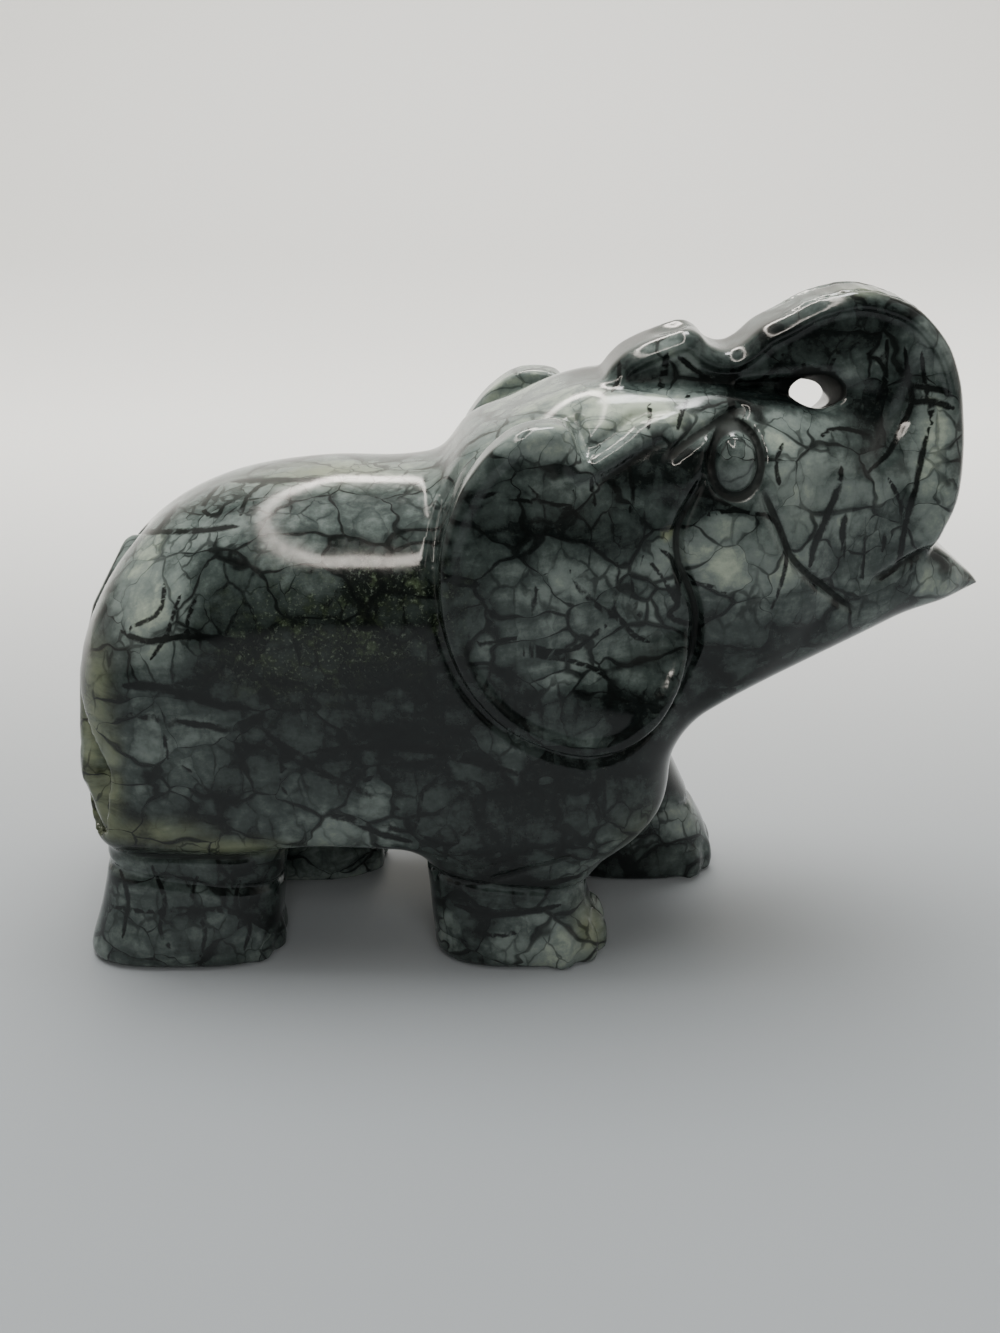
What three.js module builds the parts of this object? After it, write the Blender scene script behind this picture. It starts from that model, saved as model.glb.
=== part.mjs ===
// Elephant figurine carved from one piece of polished dark green stone, trunk raised and
// curled back over the brow. Millimetres, +Z up, the head towards +X, standing on z = 0.
//
// The whole carving is one field of distances, below zero inside the stone: outlines seen
// from the side, each with a width to either side of the middle plane, and legs, tail and
// eyes, joined with fillets and cut by grooves. Its zero surface is taken on a grid, then
// thinned to few triangles where it is nearly flat.
//
// While it is shaped, x is counted from a point under the shoulder. The finished mesh is
// moved so that the origin is under the middle of its bounding box.
import * as THREE from 'three';
import { mergeVertices } from 'three/addons/utils/BufferGeometryUtils.js';

const GRID = 1.25;
const TRIANGLES = 9600;
const SOLE_SNAP = 0.08;
const HAIR = 0.05;
const LOW = [-77, -33, -1.9];
const HIGH = [84.5, 33, 114];

// Body: outline of back, rump, belly and chest as (x, z), and its half width
const BODY = [
  [-69.2, 30], [-70, 41], [-69.8, 51], [-67.3, 60], [-62, 68.6], [-54.2, 75.2], [-43.5, 79.6],
  [-30, 81.6], [-17, 81.7], [-9, 83.3], [0, 88], [14, 90], [24, 84], [28, 70], [29.5, 55],
  [29.6, 42], [26, 28], [12, 21.5], [-8, 21], [-30, 22], [-44, 20.5], [-58, 20.5], [-66, 22],
];
const BODY_HALF = 27.6;

// Head and lower lip, without the trunk's loop, and its half width along x
const HEAD = [
  [-7, 84], [2, 91], [12, 95.5], [22, 96.6], [45, 96.2], [58, 95], [70, 93], [73, 85], [72.5, 76],
  [71, 70.5], [76, 66.4], [81.8, 61.2], [80.8, 60.5], [70, 57.6], [60, 54], [50, 50], [40, 45.5],
  [30, 40], [16, 34], [4, 45], [-4, 65],
];
const HEAD_HALF = [
  [-12, 25.5], [5, 24.5], [20, 22.5], [36, 20.6], [48, 17.5], [58, 14.2], [66, 11], [74, 7.4],
  [81, 2.4], [90, 1],
];
const CHEEK = { centre: [38, 15, 70], radii: [13, 6.4, 17] };

// Trunk: from the tip on the brow, over the loop and down the front to the mouth
const TRUNK = [
  [17, 97], [19, 100], [21.8, 101.8], [25.2, 103.2], [29.2, 104.5], [31.6, 103.8], [33.4, 102],
  [36, 101.2], [38.5, 102.2], [41.3, 104.7], [44.9, 106.6], [48.8, 108.8], [52.1, 109.9],
  [55.5, 110.6], [58.5, 110.5], [62, 109.6], [65.3, 108.2], [67.9, 106.2], [70.1, 103.8],
  [72, 101], [74, 95.6], [75, 89.2], [75, 83.8], [74.4, 77.7], [73, 73.5], [70.8, 69.8],
  [64, 68], [58, 72], [54, 84], [44, 92], [30, 93], [19, 93],
];
const TRUNK_HALF = 8.6;
const TRUNK_RIM = 2.6;
const TRUNK_DISH = 0.9;

// Ears: outline as (x, z), laid on the neck and the shoulder
const EAR = [
  [-6.8, 82.5], [-9, 76], [-9.4, 68], [-8, 60], [-5, 53], [0, 47], [6.3, 43.1], [13, 41],
  [19.4, 41.8], [24.4, 45.3], [28, 50.6], [30.2, 55], [30.8, 60], [30.4, 64], [29, 68],
  [27.4, 72], [27, 76.5], [28, 81], [28, 86], [20, 87.5], [12.8, 87.5], [10.4, 92.6],
  [6.3, 93.4], [2, 92.4], [-2, 89.4], [-4.8, 86],
];
const EAR_OUT = 30.6;
const EAR_THICK = 8;
const EAR_RIM = 1.8;
const EAR_DISH = 0.8;

// Legs as posts: (height, centre x, centre y, half length, half width), and how square they are
const FRONT_POWER = 2.6;
const REAR_POWER = 3;
const RIGHT_REAR = [
  [0, -54.9, -15, 16.6, 10.5], [3, -54.6, -15, 16.3, 10.3], [9, -53.3, -14.4, 15.7, 9.6],
  [16, -52.2, -13.8, 15.3, 9.4], [22, -51.5, -13.5, 15.6, 10], [34, -50.5, -13, 16, 11],
];
const LEFT_REAR = [
  [0, -39.2, 15, 16.6, 10.5], [3, -39.2, 15, 16.3, 10.3], [9, -39.9, 14.6, 15.7, 9.8],
  [16, -40.6, 14.2, 15.3, 9.8], [22, -41.5, 14, 16, 10.6], [34, -44, 14, 18, 12],
];
const RIGHT_FRONT = [
  [0, 3.2, -15, 14.6, 10.4], [3, 3.1, -15, 14.5, 10.3], [8, 2, -14.9, 13.9, 10],
  [13, 1.3, -14.8, 13.6, 9.9], [18, 2.6, -14.6, 15.6, 11], [24, 4.6, -14.6, 19.4, 12.2],
  [32, 5.2, -14.2, 20.4, 12.4], [44, 4, -12, 18, 11],
];
const LEFT_FRONT = [
  [0, 25.4, 15.2, 14.4, 10.2], [4, 25.5, 15.2, 14.4, 10.1], [8, 24.8, 15.1, 14.2, 9.9],
  [13, 22.4, 15, 14, 9.8], [18, 19.2, 14.8, 14.8, 10.6], [25, 14.6, 14.6, 16.4, 11.8],
  [34, 9.4, 14.2, 19, 12.2], [46, 5, 12, 18, 11],
];

// Toenails round the front of a foot: angles from straight ahead in degrees, outer side first
const FRONT_TOES = [-62, -36, -10, 16, 42];
const REAR_TOES = [-34, -8, 18];
const TOE = { radius: [2.7, 2.7, 5], height: 2.2, out: 0.8 };

// Ring line round each ankle: height, fall towards the front, half width and depth
const ANKLE = { height: 15.4, fall: 0.12, half: 1.1, depth: 0.8 };

// Hole through the curl: it drops towards the left side, with a crack running back from it
const HOLE = { x: 50.6, z: 95.4, radii: [4.3, 2.9], drop: 0.25 };
const CRACK = { from: [37.5, 96], to: [48, 95.6], radii: [0.3, 1.6], floor: 4 };

const EYE = { centre: [36.2, 18.2, 86.6], radius: 3.6, ring: 4.1, half: 0.9, depth: 1.1 };

// Tail from the rump to its tuft on the right rear corner: (x, y, z, radius)
const TAIL = [
  [-61.5, -1, 67, 2.6], [-65.8, -7, 58.5, 2.6], [-67.2, -13, 50, 2.6], [-66.8, -17, 42, 2.8],
  [-65.9, -19.6, 35, 3.5], [-64.4, -21.4, 27.5, 1.8],
];
const TAIL_GROOVE = { out: 0.9, half: 1.3, depth: 1.2 };

// Carved lines seen from the side: (x, z) points, half width and depth (below zero is a ridge)
const LINES = [
  { path: [[40.1, 83.2], [41.6, 80.4], [43.4, 76.4], [45.4, 72], [48.2, 68.8], [52, 65.4], [56, 62], [60, 59.8]],
    half: 1.5, depth: 0.9 },
  { path: [[65.2, 97], [63.6, 91], [61.2, 87.2], [57.6, 83]], half: 1.8, depth: 1.1 },
  { path: [[67.2, 95], [65.4, 89.6], [62.8, 85.6], [59.6, 82]], half: 1.8, depth: -0.4 },
  { path: [[24.8, 86.6], [27.4, 88.8], [31, 90.8], [35.6, 92.8]], half: 1.6, depth: 0.8 },
  { path: [[12.4, 87.3], [16, 88.9], [20, 91.4], [25.6, 93], [32, 94.8]], half: 2, depth: -0.5 },
  { path: [[61.6, 66.8], [63.4, 67.3], [65.2, 67.8]], half: 1.8, depth: 1 },
  { path: [[31.6, 84.4], [29, 80.4], [27.4, 76.5], [27.6, 72], [29.2, 68], [30.6, 64], [31, 60], [30.4, 55],
    [28.4, 50.8]], half: 1.6, depth: 0.9 },
];

const MATERIAL = { color: '#3d4641', roughness: 0.2, metalness: 0 };

// Small helpers

const clamp = (v, lo, hi) => Math.min(Math.max(v, lo), hi);

function ramp(lo, hi, v) {
  const t = clamp((v - lo) / (hi - lo), 0, 1);
  return t * t * (3 - 2 * t);
}

// The smaller of two fields, with a fillet about k wide
function join(a, b, k) {
  const h = Math.max(k - Math.abs(a - b), 0) / k;
  return Math.min(a, b) - h * h * k * 0.25;
}

// The larger of two fields, with an edge rounded about k wide
const meet = (a, b, k) => -join(-a, -b, k);

// Points of the Catmull-Rom curve through the given points, a few to each stretch
function curve(points, closed, steps = 6) {
  const n = points.length;
  const at = (i) => (closed ? points[(i + n) % n] : points[clamp(i, 0, n - 1)]);
  const out = [];
  for (let i = 0; i < (closed ? n : n - 1); i++) {
    const [a, b, c, d] = [at(i - 1), at(i), at(i + 1), at(i + 2)];
    for (let s = 0; s < steps; s++) {
      const t = s / steps;
      out.push(b.map((_, k) => 0.5 * (2 * b[k] + (c[k] - a[k]) * t
        + (2 * a[k] - 5 * b[k] + 4 * c[k] - d[k]) * t * t
        + (3 * b[k] - a[k] - 3 * c[k] + d[k]) * t * t * t)));
    }
  }
  if (!closed) out.push(points[n - 1]);
  return out;
}

// Squared distance from a point to a stretch between two others
function stretch(px, pz, a, b) {
  const [ex, ez] = [b[0] - a[0], b[1] - a[1]];
  const t = clamp(((px - a[0]) * ex + (pz - a[1]) * ez) / (ex * ex + ez * ez || 1), 0, 1);
  return (px - a[0] - t * ex) ** 2 + (pz - a[1] - t * ez) ** 2;
}

// Distance to a closed outline, below zero inside it
function outlineDistance(outline, x, z) {
  let best = Infinity;
  let inside = false;
  for (let i = 0, j = outline.length - 1; i < outline.length; j = i++) {
    const [a, b] = [outline[j], outline[i]];
    best = Math.min(best, stretch(x, z, a, b));
    if ((a[1] > z) !== (b[1] > z) && x < (b[0] - a[0]) * (z - a[1]) / (b[1] - a[1]) + a[0]) {
      inside = !inside;
    }
  }
  return inside ? -Math.sqrt(best) : Math.sqrt(best);
}

function pathDistance(path, x, z) {
  let best = Infinity;
  for (let i = 1; i < path.length; i++) best = Math.min(best, stretch(x, z, path[i - 1], path[i]));
  return Math.sqrt(best);
}

// Columns of a table (first column rising) at one value, read straight between its rows
function lookUp(table, v) {
  let i = 1;
  while (i < table.length - 1 && table[i][0] < v) i++;
  const [a, b] = [table[i - 1], table[i]];
  const t = clamp((v - a[0]) / (b[0] - a[0]), 0, 1);
  return a.slice(1).map((w, k) => w + (b[k + 1] - w) * t);
}

// Distance, near enough, to an egg: its level less one, over the length of the level's slope
function egg(p, centre, radii) {
  let [level, slope] = [0, 0];
  for (let k = 0; k < 3; k++) {
    const q = (p[k] - centre[k]) / radii[k];
    level += q * q;
    slope += (q / radii[k]) ** 2;
  }
  level = Math.sqrt(level);
  return slope > 0 ? (level - 1) * level / Math.sqrt(slope) : -Math.min(...radii);
}

// Distance to a rod with round ends whose radius runs from ra at a to rb at b
function rod(p, a, b, ra, rb) {
  const e = b.map((v, k) => v - a[k]);
  const length = e.reduce((s, v) => s + v * v, 0);
  const t = clamp(e.reduce((s, v, k) => s + v * (p[k] - a[k]), 0) / length, 0, 1);
  const gap = Math.hypot(...e.map((v, k) => p[k] - a[k] - t * v));
  return gap - (ra + (rb - ra) * t);
}

// A post whose rounded-square section slides and swells with height
function post(table, power) {
  const rows = curve(table, false);
  const top = table[table.length - 1][0];
  return (x, y, z) => {
    const [cx, cy, hx, hy] = lookUp(rows, clamp(z, 0, top));
    const [qx, qy] = [Math.abs(x - cx) / hx + 1e-6, Math.abs(y - cy) / hy + 1e-6];
    const level = (qx ** power + qy ** power) ** (1 / power);
    const slope = Math.hypot(qx ** (power - 1) / hx, qy ** (power - 1) / hy);
    const line = Math.abs(z - ANKLE.height + ANKLE.fall * (x - cx));
    const side = (level - 1) * level ** (power - 1) / slope + ANKLE.depth * ramp(ANKLE.half, 0, line);
    return meet(side, Math.max(z - top, -z), 2);
  };
}

// Where a foot's nails sit: on the rounded square of its sole, a little way in
function toes(table, angles, side) {
  const [, cx, cy, hx, hy] = table[0];
  const inset = TOE.radius[0] - TOE.out;
  const squared = (v) => Math.sign(v) * Math.abs(v) ** (2 / FRONT_POWER);
  return angles.map((degrees) => {
    const a = THREE.MathUtils.degToRad(degrees) * side;
    return [cx + (hx - inset) * squared(Math.cos(a)), cy + (hy - inset) * squared(Math.sin(a)),
      TOE.height];
  });
}

const FRAMES = {
  body: curve(BODY, true),
  head: curve(HEAD, true),
  headHalf: curve(HEAD_HALF, false),
  trunk: curve(TRUNK, true),
  ear: curve(EAR, true),
};
const LEGS = [
  { field: post(RIGHT_FRONT, FRONT_POWER), fillet: 5 },
  { field: post(LEFT_FRONT, FRONT_POWER), fillet: 5 },
  { field: post(RIGHT_REAR, REAR_POWER), fillet: 1.6 },
  { field: post(LEFT_REAR, REAR_POWER), fillet: 1.6 },
];
const NAILS = [
  ...toes(RIGHT_FRONT, FRONT_TOES, 1), ...toes(LEFT_FRONT, FRONT_TOES, -1),
  ...toes(RIGHT_REAR, REAR_TOES, 1), ...toes(LEFT_REAR, REAR_TOES, -1),
];

// How far out an ear's face lies: it turns in towards the eye, and at the top
function earFace(x, z) {
  const turn = 0.1 + 0.24 * ramp(46, 62, z);
  return EAR_OUT - turn * Math.max(x - 4, 0) - 0.0042 * Math.max(z - 62, 0) ** 2
    - 0.004 * Math.max(52 - z, 0) ** 2;
}

// The field along one line across the carving: what depends on x and z alone is done once
function across(x, z) {
  const body = outlineDistance(FRAMES.body, x, z);
  const head = outlineDistance(FRAMES.head, x, z);
  const trunk = outlineDistance(FRAMES.trunk, x, z);
  const ear = outlineDistance(FRAMES.ear, x, z);
  const bodyHalf = BODY_HALF - 1.2 * ((x + 24) / 48) ** 2 - ((z - 50) / 30) ** 2;
  const bodyEdge = 7 + 9 * ramp(24, 38, z) + 9 * ramp(48, 76, z);
  const headHalf = lookUp(FRAMES.headHalf, x)[0] - 3 * ramp(66, 40, z);
  const headEdge = (7 + 11 * ramp(74, 92, z)) * (1 - 0.6 * ramp(66, 80, x));
  const trunkHalf = TRUNK_HALF + 3 * ramp(92, 78, z)
    - TRUNK_DISH * ramp(-TRUNK_RIM, -TRUNK_RIM - 1.2, trunk) * ramp(86, 97, z);
  const earHalf = earFace(x, z) - EAR_DISH * ramp(-EAR_RIM, -EAR_RIM - 2, ear);
  let carved = 0;
  for (const { path, half, depth } of LINES) {
    carved += depth * ramp(half, 0, pathDistance(path, x, z));
  }

  return (y) => {
    const side = Math.abs(y);
    const p = [x, side, z];
    let d = meet(body, side - bodyHalf, bodyEdge);
    let skull = meet(head, side - headHalf, headEdge);
    skull = join(skull, egg(p, CHEEK.centre, CHEEK.radii), 4);
    d = join(d, skull, 5);
    for (const leg of LEGS) d = join(d, leg.field(x, y, z), leg.fillet);
    const slab = meet(meet(ear, side - earHalf, 1.8), earHalf - EAR_THICK - side, 1);
    d = join(d, slab, 0.8);
    d = join(d, meet(trunk, side - trunkHalf, 4.5), 2);
    if (side > 6) d += carved;

    const low = z + HOLE.drop * (y + TRUNK_HALF);
    const bore = egg([x, 0, low], [HOLE.x, 0, HOLE.z], [HOLE.radii[0], 100, HOLE.radii[1]]);
    const crack = meet(CRACK.floor - side, rod([x, 0, z], [CRACK.from[0], 0, CRACK.from[1]],
      [CRACK.to[0], 0, CRACK.to[1]], ...CRACK.radii), 0.5);
    d = meet(d, -join(bore, crack, 1), 1);

    const [ex, ey, ez] = EYE.centre;
    const round = Math.hypot(x - ex, z - ez);
    if (side > ey / 2) d += EYE.depth * ramp(EYE.half, 0, Math.abs(round - EYE.ring));
    d = join(d, Math.hypot(round, side - ey) - EYE.radius, 0.4);

    if (x < -50) {
      let tail = Infinity;
      for (let i = 1; i < TAIL.length; i++) {
        const [a, b] = [TAIL[i - 1], TAIL[i]];
        tail = Math.min(tail, rod([x, y, z], a.slice(0, 3), b.slice(0, 3), a[3], b[3]));
      }
      const { out, half, depth } = TAIL_GROOVE;
      d = join(d + depth * ramp(half, 0, Math.abs(tail - out)), tail, 0.4);
    }
    if (z < 9) for (const nail of NAILS) d = join(d, egg([x, y, z], nail, TOE.radius), 0.8);
    return Math.max(d, -z);
  };
}

// A cell's corners as (x, y, z) steps, its edges as pairs of corners, and its faces
const CORNERS = [0, 1, 2, 3, 4, 5, 6, 7].map((c) => [c & 1, (c >> 1) & 1, (c >> 2) & 1]);
const EDGES = CORNERS.flatMap((_, a) => [1, 2, 4].filter((bit) => !(a & bit)).map((bit) => [a, a | bit]));
const FACES = [[1, 2, 4], [2, 4, 1], [4, 1, 2]].flatMap(([u, w, n]) => [0, n].map(
  (base) => [base, base | u, base | u | w, base | w]));

// Whether two sheets of surface would meet in a cell: stone at only two opposite corners of a
// face, or stone or air at corners that no edges join. Worked out for all 256 cells at once.
const TANGLED = Array.from({ length: 256 }, (_, mask) => {
  const solid = (c) => (mask >> c) & 1;
  if (FACES.some((f) => solid(f[0]) === solid(f[2]) && solid(f[1]) === solid(f[3])
    && solid(f[0]) !== solid(f[1]))) return true;
  return [0, 1].some((kind) => {
    const group = CORNERS.map((_, c) => c).filter((c) => solid(c) === kind);
    const reached = new Set(group.slice(0, 1));
    for (let pass = 0; pass < 8; pass++) {
      for (const [a, b] of EDGES) {
        if (solid(a) !== kind || solid(b) !== kind) continue;
        if (reached.has(a)) reached.add(b);
        if (reached.has(b)) reached.add(a);
      }
    }
    return reached.size < group.length;
  });
});

// The field on the grid. Where a cell is tangled, its air corner nearest the stone becomes
// stone, which in time untangles every cell.
function sample(nx, ny, nz) {
  const index = (i, j, k) => (i * ny + j) * nz + k;
  const value = new Float32Array(nx * ny * nz);
  for (let i = 0; i < nx; i++) {
    for (let k = 0; k < nz; k++) {
      const line = across(LOW[0] + i * GRID, LOW[2] + k * GRID);
      for (let j = 0; j < ny; j++) value[index(i, j, k)] = line(LOW[1] + j * GRID);
    }
  }
  const offsets = CORNERS.map(([a, b, c]) => index(a, b, c));
  for (let tangles = 1; tangles > 0;) {
    tangles = 0;
    for (let i = 0; i < nx - 1; i++) {
      for (let j = 0; j < ny - 1; j++) {
        for (let k = 0; k < nz - 1; k++) {
          const at = index(i, j, k);
          let mask = 0;
          for (let c = 0; c < 8; c++) if (value[at + offsets[c]] < 0) mask |= 1 << c;
          if (!TANGLED[mask]) continue;
          const air = offsets.map((o) => at + o).filter((c) => value[c] >= 0);
          value[air.reduce((a, b) => (value[b] < value[a] ? b : a))] = -HAIR;
          tangles++;
        }
      }
    }
  }
  return value;
}

// Zero surface of the field on a grid: one point in each cell that the surface crosses, at
// the mean of the crossings on the cell's edges, and a square across each crossed edge
function surface() {
  const [nx, ny, nz] = LOW.map((lo, k) => Math.ceil((HIGH[k] - lo) / GRID) + 1);
  const index = (i, j, k) => (i * ny + j) * nz + k;
  const value = sample(nx, ny, nz);
  const points = [];
  const pointOf = new Map();
  for (let i = 0; i < nx - 1; i++) {
    for (let j = 0; j < ny - 1; j++) {
      for (let k = 0; k < nz - 1; k++) {
        const v = CORNERS.map(([a, b, c]) => value[index(i + a, j + b, k + c)]);
        const low = v.filter((w) => w < 0).length;
        if (low === 0 || low === 8) continue;
        const sum = [0, 0, 0];
        let crossings = 0;
        for (const [a, b] of EDGES) {
          if ((v[a] < 0) === (v[b] < 0)) continue;
          const t = v[a] / (v[a] - v[b]);
          for (let m = 0; m < 3; m++) sum[m] += CORNERS[a][m] + t * (CORNERS[b][m] - CORNERS[a][m]);
          crossings++;
        }
        pointOf.set(index(i, j, k), points.length);
        points.push([i, j, k].map((n, m) => LOW[m] + (n + sum[m] / crossings) * GRID));
      }
    }
  }

  const triangles = [];
  const offset = [ny * nz, nz, 1];
  for (let i = 1; i < nx - 1; i++) {
    for (let j = 1; j < ny - 1; j++) {
      for (let k = 1; k < nz - 1; k++) {
        const at = index(i, j, k);
        for (let axis = 0; axis < 3; axis++) {
          const [here, next] = [value[at] < 0, value[at + offset[axis]] < 0];
          if (here === next) continue;
          const [u, w] = [offset[(axis + 1) % 3], offset[(axis + 2) % 3]];
          const ring = [at - u - w, at - w, at, at - u].map((c) => pointOf.get(c));
          if (next) ring.reverse();
          triangles.push([ring[0], ring[1], ring[2]], [ring[0], ring[2], ring[3]]);
        }
      }
    }
  }
  return { points, triangles };
}

// A heap of [cost, ...] entries, cheapest first
class Heap {
  items = [];
  push(item) {
    const a = this.items;
    let i = a.push(item) - 1;
    while (i > 0) {
      const up = (i - 1) >> 1;
      if (a[up][0] <= a[i][0]) break;
      [a[up], a[i]] = [a[i], a[up]];
      i = up;
    }
  }
  pop() {
    const a = this.items;
    const top = a[0];
    const last = a.pop();
    if (a.length === 0) return top;
    a[0] = last;
    for (let i = 0; ;) {
      const [l, r] = [2 * i + 1, 2 * i + 2];
      let least = i;
      if (l < a.length && a[l][0] < a[least][0]) least = l;
      if (r < a.length && a[r][0] < a[least][0]) least = r;
      if (least === i) return top;
      [a[least], a[i]] = [a[i], a[least]];
      i = least;
    }
  }
}

// Thins a closed mesh by drawing edges together, cheapest first. The cost of a point is the
// sum of its squared distances from the planes of the triangles that it stands for.
function thin({ points, triangles }, target) {
  const sub = (a, b) => [a[0] - b[0], a[1] - b[1], a[2] - b[2]];
  const dot = (a, b) => a[0] * b[0] + a[1] * b[1] + a[2] * b[2];
  const cross = (a, b) => [
    a[1] * b[2] - a[2] * b[1], a[2] * b[0] - a[0] * b[2], a[0] * b[1] - a[1] * b[0]];
  const normalOf = (a, b, c) => cross(sub(b, a), sub(c, a));

  const quadric = points.map(() => new Float64Array(10));
  const around = points.map(() => new Set());
  triangles.forEach((t, id) => {
    const [a, b, c] = t.map((v) => points[v]);
    const n = normalOf(a, b, c);
    const area = Math.hypot(...n) || 1e-12;
    const [x, y, z] = n.map((v) => v / area);
    const w = -(x * a[0] + y * a[1] + z * a[2]);
    const plane = [x * x, x * y, x * z, x * w, y * y, y * z, y * w, z * z, z * w, w * w];
    for (const v of t) {
      around[v].add(id);
      plane.forEach((q, k) => { quadric[v][k] += q * area; });
    }
  });

  const costOf = (q, [x, y, z]) => q[0] * x * x + 2 * q[1] * x * y + 2 * q[2] * x * z
    + 2 * q[3] * x + q[4] * y * y + 2 * q[5] * y * z + 2 * q[6] * y + q[7] * z * z
    + 2 * q[8] * z + q[9];

  // The cheapest place for a merged point, or the best of the ends and the middle
  function placeOf(q, a, b) {
    const det = q[0] * (q[4] * q[7] - q[5] * q[5]) - q[1] * (q[1] * q[7] - q[5] * q[2])
      + q[2] * (q[1] * q[5] - q[4] * q[2]);
    const middle = a.map((v, k) => (v + b[k]) / 2);
    const reach = Math.hypot(...sub(a, b));
    if (Math.abs(det) > 1e-6) {
      const [r, s, t] = [-q[3], -q[6], -q[8]];
      const spot = [
        (r * (q[4] * q[7] - q[5] * q[5]) - q[1] * (s * q[7] - q[5] * t)
          + q[2] * (s * q[5] - q[4] * t)) / det,
        (q[0] * (s * q[7] - q[5] * t) - r * (q[1] * q[7] - q[5] * q[2])
          + q[2] * (q[1] * t - s * q[2])) / det,
        (q[0] * (q[4] * t - s * q[5]) - q[1] * (q[1] * t - s * q[2])
          + r * (q[1] * q[5] - q[4] * q[2])) / det,
      ];
      if (Math.hypot(...sub(spot, middle)) < reach) return spot;
    }
    return [middle, a, b].sort((u, v) => costOf(q, u) - costOf(q, v))[0];
  }

  const stamp = new Int32Array(points.length);
  const heap = new Heap();
  const neighbours = (v) => {
    const out = new Set();
    for (const t of around[v]) for (const w of triangles[t]) if (w !== v) out.add(w);
    return out;
  };
  function offer(a, b) {
    const q = quadric[a].map((v, k) => v + quadric[b][k]);
    const place = placeOf(q, points[a], points[b]);
    const slim = 1e-4 * Math.hypot(...sub(points[a], points[b])) ** 2;
    heap.push([Math.max(costOf(q, place), 0) + slim, a, b, stamp[a], stamp[b], place, q]);
  }
  points.forEach((_, a) => {
    for (const b of neighbours(a)) if (a < b) offer(a, b);
  });

  const keeps = (moving, other, place) => {
    for (const t of around[moving]) {
      const tri = triangles[t];
      if (tri.includes(other)) continue;
      const before = normalOf(...tri.map((v) => points[v]));
      const after = normalOf(...tri.map((v) => (v === moving ? place : points[v])));
      const size = Math.hypot(...before) * Math.hypot(...after);
      if (size < 1e-9 || dot(before, after) < 0.35 * size) return false;
    }
    return true;
  };

  let left = triangles.length;
  while (left > target && heap.items.length) {
    const [, a, b, atA, atB, place, q] = heap.pop();
    if (stamp[a] !== atA || stamp[b] !== atB) continue;
    const [ringA, ringB] = [neighbours(a), neighbours(b)];
    if ([...ringA].filter((v) => ringB.has(v)).length !== 2) continue;
    if (!keeps(a, b, place) || !keeps(b, a, place)) continue;
    for (const t of [...around[b]]) {
      if (triangles[t].includes(a)) {
        for (const v of triangles[t]) around[v].delete(t);
        triangles[t] = null;
        left--;
      } else {
        triangles[t] = triangles[t].map((v) => (v === b ? a : v));
        around[a].add(t);
      }
    }
    around[b].clear();
    stamp[a]++;
    stamp[b] = -1;
    points[a] = place;
    quadric[a] = q;
    for (const w of neighbours(a)) {
      stamp[w]++;
      for (const v of neighbours(w)) offer(w, v);
    }
  }
  return { points, triangles: triangles.filter((t) => t) };
}

// Soles flat on z = 0, and the origin under the middle of the bounding box
function settle({ points, triangles }) {
  const used = [...new Set(triangles.flat())];
  const bounds = [0, 1].map((k) => {
    const along = used.map((v) => points[v][k]);
    return (Math.min(...along) + Math.max(...along)) / 2;
  });
  const position = new Float32Array(triangles.flat().flatMap((v) => {
    const [x, y, z] = points[v];
    return [x - bounds[0], y - bounds[1], z < SOLE_SNAP ? 0 : z];
  }));
  const geometry = new THREE.BufferGeometry();
  geometry.setAttribute('position', new THREE.BufferAttribute(position, 3));
  return mergeVertices(geometry, 1e-4);
}

const elephant = new THREE.Mesh(
  settle(thin(surface(), TRIANGLES)), new THREE.MeshStandardMaterial(MATERIAL));
elephant.name = 'elephant';
elephant.geometry.computeVertexNormals();

const figurine = new THREE.Group();
figurine.add(elephant);

export default figurine;
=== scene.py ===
"""An elephant carved from one piece of veined dark green stone, polished, on a pale floor.

The carving is one field of distances, below zero inside the stone, worked out on a grid in
millimetres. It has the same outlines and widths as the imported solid, with finer carving: the
rims of ears and trunk, folds, nails and the strands of the tail. Its zero surface is the mesh.
While it is shaped, x is counted from under the shoulder, and the mesh is then fitted to the
solid's box.
"""

import bpy
import numpy as np
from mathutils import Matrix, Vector


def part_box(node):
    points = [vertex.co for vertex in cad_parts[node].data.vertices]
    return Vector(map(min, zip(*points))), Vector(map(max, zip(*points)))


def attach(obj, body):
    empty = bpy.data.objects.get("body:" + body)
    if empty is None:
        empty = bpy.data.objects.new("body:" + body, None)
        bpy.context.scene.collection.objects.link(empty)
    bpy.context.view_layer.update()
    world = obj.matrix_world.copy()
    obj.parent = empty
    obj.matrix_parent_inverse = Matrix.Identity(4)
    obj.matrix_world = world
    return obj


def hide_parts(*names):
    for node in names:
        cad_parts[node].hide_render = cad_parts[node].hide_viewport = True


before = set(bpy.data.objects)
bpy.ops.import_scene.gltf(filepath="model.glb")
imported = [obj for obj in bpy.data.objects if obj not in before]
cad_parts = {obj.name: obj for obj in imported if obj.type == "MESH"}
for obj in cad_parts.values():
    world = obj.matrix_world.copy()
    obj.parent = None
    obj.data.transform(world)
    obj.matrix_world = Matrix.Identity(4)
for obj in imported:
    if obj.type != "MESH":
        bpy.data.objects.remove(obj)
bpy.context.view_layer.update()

MM = 0.001

GRID = 0.6
LOW = (-76.5, -32.5, -1.3)
HIGH = (83, 32.5, 112.5)

# Triangles kept in the mesh, and the height in mm under which a point lies flat on the ground
TRIANGLES = 198000
SOLE_SNAP = 0.1

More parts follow.
